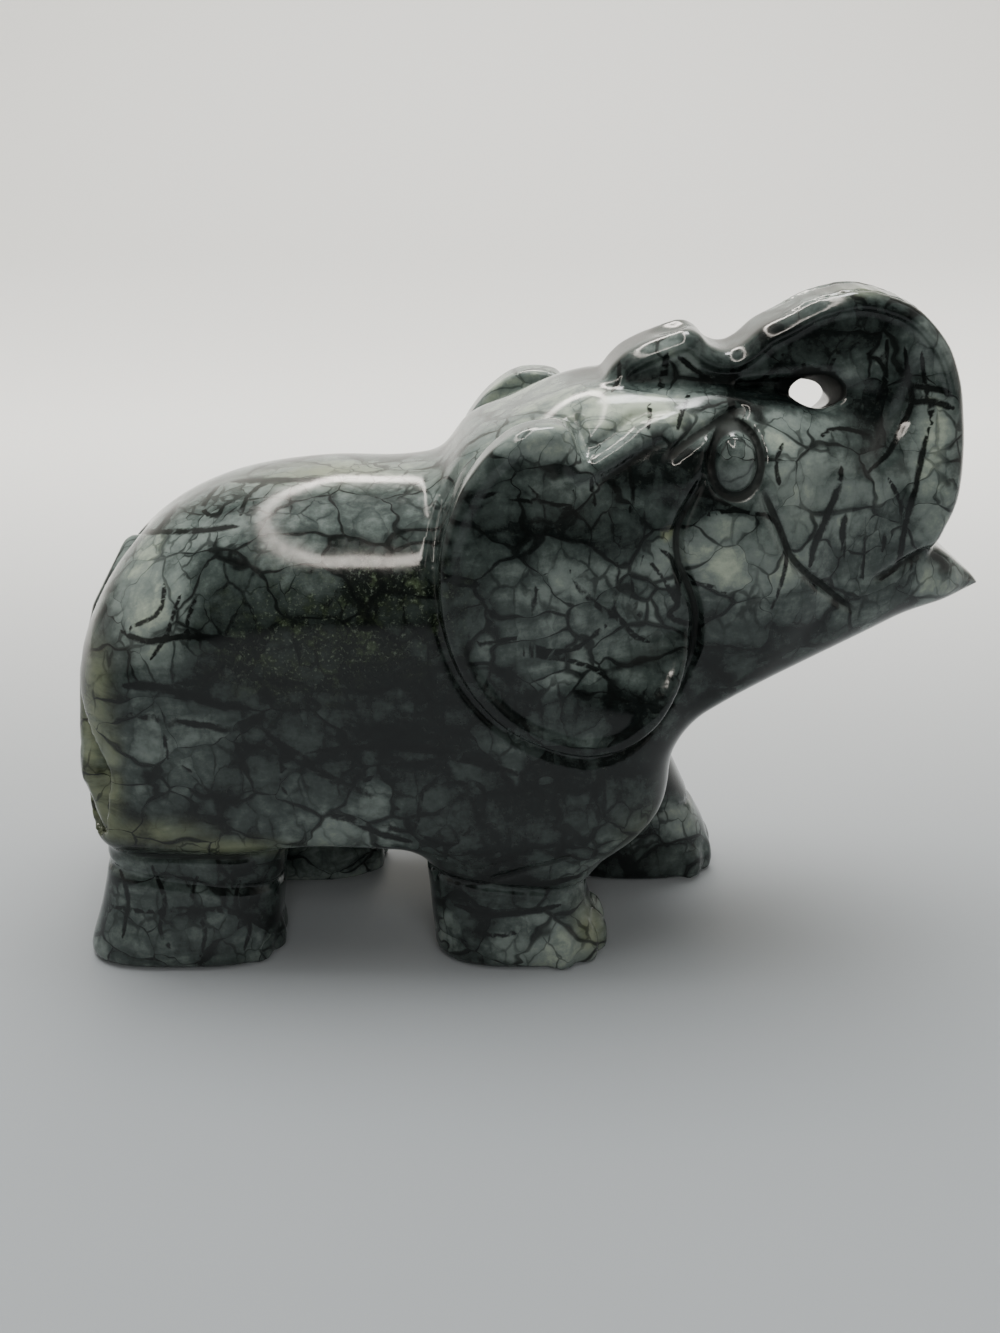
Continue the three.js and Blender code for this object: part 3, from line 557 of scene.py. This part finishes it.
def carving(x, y, z):
    """The field of the whole carving on a grid of three axes.

    Each outline's distance meets the distance past a half width, and the forms are joined one
    after another. What is carved is a depth added to the field where the pattern runs.
    """
    body, _ = outline_distance(curve(BODY, True), x, z)
    head, _ = outline_distance(curve(HEAD, True), x, z)
    trunk, along = outline_distance(curve(TRUNK, True), x, z)
    ear, _ = outline_distance(curve(EAR, True), x, z)
    body, head, trunk, ear = (a.astype(np.float32) for a in (body, head, trunk, ear))
    side = np.abs(y).astype(np.float32)

    # Body and head
    wide = BODY_WIDEST
    half = BODY_HALF - wide["x_lost"] * ((x - wide["x"]) / wide["x_reach"]) ** 2
    half = half - ((z - wide["z"]) / wide["z_reach"]) ** 2
    edge = BODY_EDGE
    for lo, hi, more in BODY_RISES:
        edge = edge + more * ramp(lo, hi, z)
    d = meet(body, side - half, edge)
    half = column(HEAD_HALF, 1, x) - THROAT["less"] * ramp(THROAT["from"], THROAT["to"], z)
    edge = HEAD_EDGE + CROWN["more"] * ramp(CROWN["from"], CROWN["to"], z)
    skull = meet(head, side - half, edge * (1 - LIP["less"] * ramp(LIP["from"], LIP["to"], x)))
    skull = join(skull, egg(x, side, z, CHEEK["centre"], CHEEK["radii"]), EDGE["cheek"])
    d = join(d, skull, EDGE["neck"])

    # Legs, each worked out only near itself
    axes = (x, y, z)
    for table, power, fillet in LEGS:
        at = np.array(table)
        lo = (*(at[:, 1:3] - at[:, 3:5]).min(0) - LEG_MARGIN, LOW[2])
        hi = (*(at[:, 1:3] + at[:, 3:5]).max(0) + LEG_MARGIN, at[-1, 0] + LEG_MARGIN)
        cut, near = part_of(axes, lo, hi)
        d[cut] = join(d[cut], post(*near, table, power), fillet)

    # Ears: a groove round the outline, then a slab whose face is dished inside its rim
    moat = EAR_GROOVE["depth"] * ramp(EAR_GROOVE["half"], 0, np.abs(ear - EAR_GROOVE["out"]))
    d += np.where(side > EAR_OUT / 2, moat, 0)
    half = ear_face(x, z) - EAR_DISH["depth"] * ramp(-EAR_RIM, -EAR_RIM - EAR_DISH["wall"], ear)
    slab = meet(meet(ear, side - half, EDGE["ear"]), half - EAR_THICK - side, EDGE["ear_back"])
    d = join(d, slab, EDGE["ear_root"])

    # Trunk: its dish, the band with edge lines and wrinkles along its outside, and the nostril
    dish = TRUNK_DISH["depth"] * ramp(-TRUNK_RIM, -TRUNK_RIM - TRUNK_DISH["wall"], trunk)
    least = TRUNK_DISH["least"]
    dish = dish * (least + (1 - least) * ramp(*TRUNK_DISH["middle"], trunk))
    half = TRUNK_HALF + TRUNK_FOOT["more"] * ramp(TRUNK_FOOT["from"], TRUNK_FOOT["to"], z)
    half = half - dish * ramp(*TRUNK_DISH["fades"], z)
    loop = meet(trunk, side - half, EDGE["trunk"])
    start, end = (outline_distance(curve(TRUNK, True), *BAND[k])[1] for k in ("from", "to"))
    fade = BAND["fade"]
    on = ramp(start - fade, start + fade, along) * ramp(end + fade, end - fade, along)
    on = on * ramp(*BAND["outside"], trunk)
    edge = BAND["depth"] * ramp(BAND["line"], 0, np.abs(side - BAND["half"]))
    wave = 0.5 - 0.5 * np.cos(2 * np.pi * along / BAND["pitch"])
    wave = BAND["wrinkle"] * wave * ramp(BAND["half"], BAND["half"] - BAND["margin"], side)
    loop += on * (edge + wave)
    loop = meet(loop, -egg(x, y, z, NOSTRIL["centre"], NOSTRIL["radii"]), EDGE["nostril"])
    d = join(d, loop, EDGE["trunk_root"])

    # Lines seen from the side, cut into both sides
    carved = 0
    for path, half, depth in LINES:
        gap, full = path_distance(curve(path), x, z)
        carved = carved + depth * full * ramp(half, 0, gap)
    d += np.where(side > LINES_OUT, carved, 0)

    # Hole: an oval section right through, lower towards the left, with its crack
    low = z + HOLE["drop"] * (y + TRUNK_HALF)
    bore = egg(x, 0, low, (HOLE["x"], 0, HOLE["z"]), (HOLE["radii"][0], 100, HOLE["radii"][1]))
    crack = rod(x, 0, z, CRACK["from"], CRACK["to"], *CRACK["radii"])
    crack = meet(CRACK["floor"] - side, crack, EDGE["crack"])
    d = meet(d, -join(bore, crack, EDGE["hole"]), EDGE["hole"])

    chip = CHIP["depth"] * ramp(CHIP["reach"], 0, np.hypot(x - CHIP["x"], z - CHIP["z"]))
    d += np.where(y < -CHIP_OUT, chip, 0)

    d += eye_ring(x, side, z)
    d = join(d, egg(x, side, z, EYE["centre"], EYE["radii"]), EDGE["eye"])

    # Tail: rods end to end with strands on the tuft, and a groove along both sides of it
    cut, near = part_of(axes, *TAIL_BOX)
    tail = np.minimum.reduce([
        rod(*near, a[:3], b[:3], a[3], b[3]) for a, b in zip(TAIL[:-1], TAIL[1:])])
    strands = TUFT["depth"] * np.cos(2 * np.pi * (near[1] - near[0]) / TUFT["pitch"])
    tail = tail + strands * ramp(TUFT["below"], TUFT["below"] - TUFT["fade"], near[2])
    groove = TAIL_GROOVE["depth"] * ramp(TAIL_GROOVE["half"], 0, np.abs(tail - TAIL_GROOVE["out"]))
    d[cut] = join(d[cut] + groove, tail, EDGE["tail"])

    # Toenails
    for table, angles, turn in ((RIGHT_FRONT, FRONT_TOES, 1), (LEFT_FRONT, FRONT_TOES, -1),
                                (RIGHT_REAR, REAR_TOES, 1), (LEFT_REAR, REAR_TOES, -1)):
        for spot in toes(table, angles, turn):
            cut, near = part_of(axes, np.subtract(spot, TOE["margin"]), np.add(spot, TOE["margin"]))
            d[cut] = join(d[cut], egg(*near, spot, TOE["radius"]), EDGE["toe"])
    return np.maximum(d, -z)


def surface(field, low, grid):
    """Zero surface of a field on a grid.

    Each cell that it crosses holds one point, the mean of its crossings on the cell's edges.
    Each edge that it crosses gives the square of the four cells round it.
    """
    solid = field < 0
    shape = np.array(field.shape) - 1
    total = np.zeros((*shape, 3), np.float32)
    count = np.zeros(shape, np.uint8)
    for axis in range(3):
        here = [slice(None)] * 3
        there = [slice(None)] * 3
        here[axis], there[axis] = slice(0, -1), slice(1, None)
        a, b = field[tuple(here)], field[tuple(there)]
        crossed = solid[tuple(here)] != solid[tuple(there)]
        t = np.where(crossed, a / np.where(crossed, a - b, 1), 0).astype(np.float32)
        others = [k for k in range(3) if k != axis]
        for s0 in (0, 1):
            for s1 in (0, 1):
                pick = [slice(None)] * 3
                pick[others[0]] = slice(s0, s0 + shape[others[0]])
                pick[others[1]] = slice(s1, s1 + shape[others[1]])
                hit = crossed[tuple(pick)]
                count += hit
                total[..., axis] += t[tuple(pick)]
                total[..., others[0]] += hit * np.float32(s0)
                total[..., others[1]] += hit * np.float32(s1)
    used = count > 0
    number = np.full(shape, -1, np.int32)
    number[used] = np.arange(used.sum())
    points = np.argwhere(used) + total[used] / count[used][:, None]
    points = points * grid + np.array(low)

    squares = []
    for axis in range(3):
        u, w = (axis + 1) % 3, (axis + 2) % 3
        here = [slice(1, -1)] * 3
        there = list(here)
        here[axis], there[axis] = slice(0, -1), slice(1, None)
        leaves = solid[tuple(here)] != solid[tuple(there)]
        at = np.argwhere(leaves)
        at[:, [u, w]] += 1
        starts = solid[tuple(at.T)]
        ring = []
        for du, dw in ((-1, -1), (0, -1), (0, 0), (-1, 0)):
            cell = at.copy()
            cell[:, u] += du
            cell[:, w] += dw
            ring.append(number[tuple(cell.T)])
        ring = np.stack(ring, 1)
        ring[~starts] = ring[~starts, ::-1]
        squares.append(ring)
    return points, np.concatenate(squares)


def mesh_of(name, points, faces):
    """A smooth mesh object from arrays of points (metres) and of squares or triangles."""
    mesh = bpy.data.meshes.new(name)
    sides = faces.shape[1]
    mesh.vertices.add(len(points))
    mesh.vertices.foreach_set("co", np.ascontiguousarray(points, np.float32).ravel())
    mesh.loops.add(faces.size)
    mesh.loops.foreach_set("vertex_index", np.ascontiguousarray(faces, np.int32).ravel())
    mesh.polygons.add(len(faces))
    mesh.polygons.foreach_set("loop_start", np.arange(0, faces.size, sides, dtype=np.int32))
    mesh.update(calc_edges=True)
    mesh.validate()
    mesh.shade_smooth()
    made = bpy.data.objects.new(name, mesh)
    bpy.context.scene.collection.objects.link(made)
    return made


def thin_out(made, target):
    """Brings the object's number of triangles down to the target, by collapsing short edges."""
    count = sum(len(p.vertices) - 2 for p in made.data.polygons)
    if count > target:
        thin = made.modifiers.new("fewer triangles", "DECIMATE")
        thin.ratio = target / count
        thin.use_collapse_triangulate = True
        graph = bpy.context.evaluated_depsgraph_get()
        mesh = bpy.data.meshes.new_from_object(made.evaluated_get(graph))
        made.modifiers.clear()
        made.data = mesh
        mesh.shade_smooth()


def relaxed(points, faces, rounds=2, share=0.5):
    """Points drawn part of the way to the mean of the points that they share an edge with."""
    a, b = faces.ravel(), np.roll(faces, -1, axis=1).ravel()
    count = len(points)
    weight = np.bincount(a, minlength=count) + np.bincount(b, minlength=count)
    for _ in range(rounds):
        mean = np.stack([
            np.bincount(a, p[b], count) + np.bincount(b, p[a], count) for p in points.T], 1)
        mean /= np.maximum(weight, 1)[:, None]
        points = points + share * (mean - points)
    return points


def fitted(points, lo, hi):
    """Points moved and scaled, each axis by itself, so that their box is the given one."""
    low, high = points.min(0), points.max(0)
    return lo + (points - low) * (hi - lo) / (high - low)


def pixels(points):
    """Where points in mm fall in the photograph: focal length times their slopes from its axis."""
    a = np.radians(LENS["pitch"])
    x, y, z = points[:, 0], points[:, 1] + LENS["back"], points[:, 2] - LENS["height"]
    depth = y * np.cos(a) - z * np.sin(a)
    up = y * np.sin(a) + z * np.cos(a)
    u, v = LENS["middle"]
    return u + LENS["focal"] * x / depth, v - LENS["focal"] * up / depth


def blobs(u, v, table):
    """Weights of soft oval patches: e to the minus squared distance over their reach."""
    return [np.exp(-((u - row[0]) / row[2]) ** 2 - ((v - row[1]) / row[3]) ** 2) for row in table]


def drawn_marks(points):
    """The near side's marks at each point.

    vein is the distance to the nearest drawn vein over its width. tone is the drawn paleness,
    partly the stone's own and partly painted light and shade, and held is how much it counts.
    moss and olive are soft patches, the chip among the olive.
    groove is painted shade in the carved lines, the rings round the eyes and the hole, on
    both sides. The near side, turned to the photograph's camera, takes in the neck's top.
    """
    u, v = pixels(points)
    x, side, z = points[:, 0], np.abs(points[:, 1]), points[:, 2]
    near = np.maximum(ramp(*NEAR["y"], points[:, 1]), ramp(*NEAR["z"], z) * ramp(*NEAR["x"], x))
    gap = np.full(len(points), float(NO_VEIN))
    for width, path in VEINS:
        reach, full = path_distance(curve(path), u, v)
        gap = np.minimum(gap, reach * PX_TO_MM / (max(width, VEIN_LEAST) * (0.5 + 0.5 * full)))
    gap += NO_VEIN * (1 - near)
    # Drawn tones: stone patches, painted light on the tops, painted shade on the trunk's side
    weights = blobs(u, v, TONES_AND_PAINTED_LIGHT)
    # Painted shade: dark in the carved lines, the rings round the eyes and the hole's wall
    groove = np.zeros(len(points))
    for path, half, depth in LINES:
        away, full = path_distance(curve(path), x, z)
        tight = min(half, SHADE_REACH)
        groove += max(depth, 0) * full * ramp(tight, tight / 4, away) * tight / half
    groove = np.where(side > LINES_OUT, groove, 0) + eye_ring(x, side, z)
    bore = np.hypot((x - HOLE["x"]) / HOLE["radii"][0], (z - HOLE["z"]) / HOLE["radii"][1])
    groove += np.where(side < TRUNK_HALF - 1, ramp(*HOLE_SHADE, bore), 0)
    chip = ramp(CHIP["reach"], CHIP["reach"] / 2, np.hypot(x - CHIP["x"], z - CHIP["z"]))
    total = sum(weights)
    tone = sum(w * row[4] for w, row in zip(weights, TONES_AND_PAINTED_LIGHT)) / (total + 1e-3)
    return {
        "vein": gap, "tone": tone, "held": near * (1 - np.exp(-TONE_HOLD * total)),
        "moss": near * np.clip(sum(blobs(u, v, MOSS)), 0, 1),
        "olive": near * np.clip(sum(blobs(u, v, OLIVE)) + chip, 0, 1),
        "groove": np.clip(groove, 0, 1),
    }


def build_elephant():
    """The carved stone as one mesh in the solid's box, and the x of the row's middle plane."""
    axes = [np.arange(lo, hi, GRID) for lo, hi in zip(LOW, HIGH)]
    x, y, z = np.meshgrid(*axes, indexing="ij", sparse=True)
    points, faces = surface(carving(x, y, z).astype(np.float32), LOW, GRID)
    flat = points[:, 2] < SOLE_SNAP
    points = relaxed(points, faces)
    points[flat, 2] = 0
    middle = (points[:, 0].min() + points[:, 0].max()) / 2
    lo, hi = (np.array(c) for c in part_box("elephant"))
    made = mesh_of("elephant_stone", fitted(points * MM, lo, hi), faces)
    thin_out(made, TRIANGLES)
    at = np.empty(len(made.data.vertices) * 3, np.float32)
    made.data.vertices.foreach_get("co", at)
    for name, values in drawn_marks(at.reshape(-1, 3) / MM + (middle, 0, 0)).items():
        made.data.attributes.new(name, "FLOAT", "POINT").data.foreach_set(
            "value", values.astype(np.float32))
    return made, middle


def colour(code):
    """A hex sRGB colour as linear RGBA: each part through the sRGB curve."""
    part = np.array([int(code[i:i + 2], 16) for i in (1, 3, 5)]) / 255
    linear = np.where(part <= 0.04045, part / 12.92, ((part + 0.055) / 1.055) ** 2.4)
    return (*linear.tolist(), 1)


def node_adder(owner):
    """Clears a material's or world's node tree, and gives the function that adds to it."""
    owner.use_nodes = True
    tree = owner.node_tree
    tree.nodes.clear()

    def add(kind, settings, *values, out=0, **named):
        """A node with its settings; values fill its inputs in order, named ones by name.

        i6 is the name for input 6. A value that is another node's socket is linked. It gives
        the output asked for, by number or name, or all of them for None.
        """
        node = tree.nodes.new("ShaderNode" + kind)
        for name, value in settings.items():
            setattr(node, name, value)
        for key, value in (*enumerate(values), *named.items()):
            if key in ("i2", "i3", "i6", "i7"):
                key = int(key[1:])
            socket = node.inputs[key if isinstance(key, int) else key.replace("_", " ")]
            if isinstance(value, bpy.types.NodeSocket):
                tree.links.new(value, socket)
            else:
                socket.default_value = value
        return node.outputs if out is None else node.outputs[out]

    return add


def cells(add, where, size, bend, turn, scale):
    """Cells about size mm wide with bent edges: distance in mm to an edge, and each one's tone."""
    where = add("Mapping", {}, where, Rotation=tuple(np.radians(turn)), Scale=scale)
    push = add("TexNoise", {}, where, out="Color", Scale=1 / (size * 0.8), **PLAIN_NOISE)
    push = add("VectorMath", MINUS, push, (0.5, 0.5, 0.5))
    push = add("VectorMath", SCALED, push, Scale=2 * bend)
    bent = add("VectorMath", PLUS, where, push)
    edge = add("TexVoronoi", {"feature": "DISTANCE_TO_EDGE"}, bent, out="Distance", Scale=1 / size)
    own = add("TexVoronoi", {"feature": "F1"}, bent, out="Color", Scale=1 / size)
    return add("Math", TIMES, edge, size), add("SeparateColor", {}, own)


def lines(add, gap, where, size, width):
    """Dark lines along cell edges, thick and thin by noise: 1 on a line, 0 away from it."""
    thick = add("TexNoise", {}, where, Scale=1 / size, **PLAIN_NOISE)
    thick = add("MapRange", SMOOTH, thick, 0.38, 0.66, 0.06, 1)
    share = add("Math", OVER, gap, add("Math", TIMES, thick, width))
    return add("MapRange", SMOOTH, share, 0.3, 1.2, 1, 0)


def stone():
    """Dark green serpentine, cut and polished: grey-green cells, black veins, mossy patches.

    The polish gives sharp reflections; the grooves are dull and painted dark as shade.
    """
    material = bpy.data.materials.new("polished veined serpentine")
    add = node_adder(material)
    mm = add("VectorMath", SCALED, add("TexCoord", {}, out="Object"), Scale=1 / MM)
    mark = {name: add("Attribute", {"attribute_name": name}, out="Fac")
            for name in ("vein", "tone", "held", "moss", "olive", "groove")}
    drift = add("Mapping", {}, mm, Rotation=tuple(np.radians((20, 12, 0))), Scale=(0.6, 1, 1.7))
    grain = {}
    for name, (size, detail, rough, twist) in GRAIN.items():
        grain[name] = add("TexNoise", {}, drift if name == "wisps" else mm, Scale=1 / size,
                          Detail=detail, Roughness=rough, Distortion=twist)
    big, big_tone = cells(add, mm, *BIG_CELLS)
    small, small_tone = cells(add, mm, *SMALL_CELLS)

    # Tone from 0, black, to 1: clouds or the drawn tone, then what each pattern takes or gives
    tone = add("MapRange", SMOOTH, grain["cloud"], 0.36, 0.66, 0.12, 0.66)
    tone = add("Mix", {}, mark["held"], i2=tone, i3=mark["tone"])
    for value, *reach in ((grain["wisps"], 0.3, 0.7, -0.1, 0.07), (big, 0, 1.8, -0.1, 0.03),
                          (small, 0, 0.9, -0.05, 0.02), (big_tone, 0, 1, -0.08, 0.1),
                          (small_tone, 0, 1, -0.04, 0.05), (grain["fine"], 0.3, 0.7, -0.07, 0.07)):
        tone = add("Math", PLUS, tone, add("MapRange", SMOOTH, value, *reach))
    base = colour(DARKEST)
    for code, *reach in PALER:
        amount = add("MapRange", SMOOTH, tone, *reach)
        base = add("Mix", COLOURS, amount, out=2, i6=base, i7=colour(code))

    # Patches: moss between two greens, pale flecks thickest in it, and olive
    green = add("MapRange", SMOOTH, grain["mottle"], 0.5, 0.72)
    green = add("Mix", COLOURS, green, out=2, i6=colour(MOSS_DARK), i7=colour(MOSS_PALE))
    moss = add("MapRange", SMOOTH, grain["mottle"], 0.4, 0.62, 0.3, 0.9)
    moss = add("Math", TIMES, mark["moss"], moss)
    fleck = add("MapRange", SMOOTH, grain["fleck"], 0.54, 0.7)
    fleck = add("Math", TIMES, fleck, add("MapRange", SMOOTH, mark["moss"], 0.1, 0.8, 0.06, 0.4))
    olive = add("MapRange", SMOOTH, grain["wisps"], 0.3, 0.6, 0.2, 0.75)
    olive = add("Math", TIMES, mark["olive"], olive)

    # Black: the drawn veins, the cells' edges, fainter where the drawn tone is pale, and
    # painted shade in the grooves and the hole
    drawn = add("MapRange", SMOOTH, grain["fine"], 0.3, 0.7, -0.14, 0.14)
    drawn = add("MapRange", SMOOTH, add("Math", PLUS, mark["vein"], drawn), 0.4, 0.95, 1, 0)
    crowd = add("MapRange", SMOOTH, grain["crowd"], 0.4, 0.6, 0.1, 0.8)
    crowd = add("Math", TIMES, lines(add, small, mm, *SMALL_LINES), crowd)
    edges = add("Math", LARGER, lines(add, big, mm, *BIG_LINES), crowd)
    clear = add("Math", TIMES, mark["held"], mark["tone"])
    clear = add("MapRange", SMOOTH, clear, 0.5, 0.85, 0.9, 0.45)
    dark = add("Math", LARGER, drawn, add("Math", TIMES, edges, clear))
    dark = add("Math", LARGER, dark, add("MapRange", SMOOTH, mark["groove"], 0.15, 0.75, 0, 0.9))
    dark = add("Math", TIMES, dark, 0.95)

    for amount, tint in ((moss, green), (fleck, colour(FLECK)), (olive, colour(OLIVE_GREEN)),
                         (dark, colour(BLACK))):
        base = add("Mix", COLOURS, amount, out=2, i6=base, i7=tint)
    rough = add("Math", PLUS, add("MapRange", SMOOTH, grain["fine"], 0.3, 0.8, 0.1, 0.2),
                add("MapRange", SMOOTH, mark["groove"], 0.1, 0.8, 0, 0.6))
    shader = add("BsdfPrincipled", {}, base, Roughness=rough, IOR=STONE_IOR,
                 Specular_IOR_Level=STONE_GLOSS)
    add("OutputMaterial", {}, shader, out=None)
    return material


def card():
    """Matt card: grey under the object, pale behind it, with painted shade greyer high up and dark
    far in front.

    It is dull enough that the elephant casts only a soft shade on it, and no mirror image.
    """
    material = bpy.data.materials.new("matt card")
    add = node_adder(material)
    place = add("SeparateXYZ", {}, add("TexCoord", {}, out="Object"), out=None)
    tint = colour(CARD_UNDER)
    # Painted shade on the card: greyer high up and dark far in front
    for axis, lo, hi, code in CARD_BANDS_AND_SHADE:
        amount = add("MapRange", SMOOTH, place[axis], lo, hi)
        tint = add("Mix", COLOURS, amount, out=2, i6=tint, i7=colour(code))
    shader = add("BsdfPrincipled", {}, tint, Roughness=0.7)
    add("OutputMaterial", {}, shader, out=None)
    return material


def area_light(name, shape, place, target, size, watts):
    """An area light at a place in mm, facing a target.

    A square one only lights the stone, and a round one only shines back off its polish.
    """
    data = bpy.data.lights.new(name, "AREA")
    data.shape = shape
    data.size = size * MM
    data.energy = watts
    light = bpy.data.objects.new(name, data)
    light.location = Vector(place) * MM
    light.visible_camera = False
    light.visible_glossy = shape == "DISK"
    light.visible_diffuse = shape == "SQUARE"
    light.rotation_euler = (Vector(target) - Vector(place)).to_track_quat("-Z", "Y").to_euler()
    bpy.context.scene.collection.objects.link(light)


def build_floor():
    """A plain sheet just under the soles that sweeps up behind in a quarter circle."""
    turn = np.radians(np.linspace(0, 90, SWEEP["parts"]))
    y = np.concatenate([[-SWEEP["front"]], SWEEP["bend"] + SWEEP["radius"] * np.sin(turn)])
    z = np.concatenate([[0], SWEEP["radius"] * (1 - np.cos(turn))]) - SWEEP["under"]
    y, z = np.append(y, y[-1]), np.append(z, SWEEP["top"])
    rows = len(y)
    points = np.concatenate([np.stack([np.full(rows, side), y, z], 1)
                             for side in (-SWEEP["side"], SWEEP["side"])])
    i = np.arange(rows - 1)
    floor = mesh_of("floor", points * MM, np.stack([i, i + rows, i + rows + 1, i + 1], 1))
    floor.data.materials.append(card())


def room():
    """Light from all round: pale above and behind the object, dark on the camera's side."""
    world = bpy.data.worlds.new("pale room")
    bpy.context.scene.world = world
    add = node_adder(world)
    way = add("SeparateXYZ", {}, add("TexCoord", {}, out="Generated"), out=None)
    back = add("MapRange", SMOOTH, way["Y"], -0.35, 0.65, 0.1, 1)
    side = add("Math", {"operation": "ABSOLUTE"}, way["X"])
    side = add("MapRange", SMOOTH, side, 0.35, 0.95, 0, 0.8)
    strength = add("Math", TIMES, add("Math", LARGER, back, side), ROOM["strength"])
    light = add("Background", {}, colour(ROOM["colour"]), strength)
    add("OutputWorld", {}, light, out=None)


def lamp_ring():
    """A band of light between two ovals over the back, which the flank mirrors as an outline.

    Each oval is a middle plus its half sizes times the cosine and sine of the angle. Its
    material is a warm white tube, so bright that the polished stone shows it as nearly white.
    """
    turn = np.linspace(0, 2 * np.pi, RING["parts"], endpoint=False)
    way = np.stack([np.cos(turn), np.sin(turn), 0 * turn], 1)
    edges = [way * (*half, 0) + (*middle, RING["height"]) for middle, half in RING["ovals"]]
    i = np.arange(RING["parts"])
    j = (i + 1) % RING["parts"]
    band = mesh_of("lamp_ring", np.concatenate(edges) * MM,
                   np.stack([i, i + RING["parts"], j + RING["parts"], j], 1))
    material = bpy.data.materials.new("lamp")
    add = node_adder(material)
    glow = add("Emission", {}, colour(RING["colour"]), RING["strength"])
    add("OutputMaterial", {}, glow, out=None)
    band.data.materials.append(material)
    band.visible_camera = False
    band.visible_diffuse = False


elephant, middle_x = build_elephant()
elephant.data.materials.clear()
elephant.data.materials.append(stone())
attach(elephant, "root")
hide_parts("elephant")

build_floor()
room()
lamp_ring()
for lamp in LAMPS:
    area_light(*lamp)

camera = bpy.data.objects.new("camera", bpy.data.cameras.new("camera"))
camera.data.sensor_width = SENSOR
camera.data.lens = LENS["focal"] * SENSOR / (2 * LENS["middle"][1])
camera.location = Vector((-middle_x, -LENS["back"], LENS["height"])) * MM
camera.rotation_euler = (np.radians(90 - LENS["pitch"]), 0, 0)
bpy.context.scene.collection.objects.link(camera)
bpy.context.scene.camera = camera
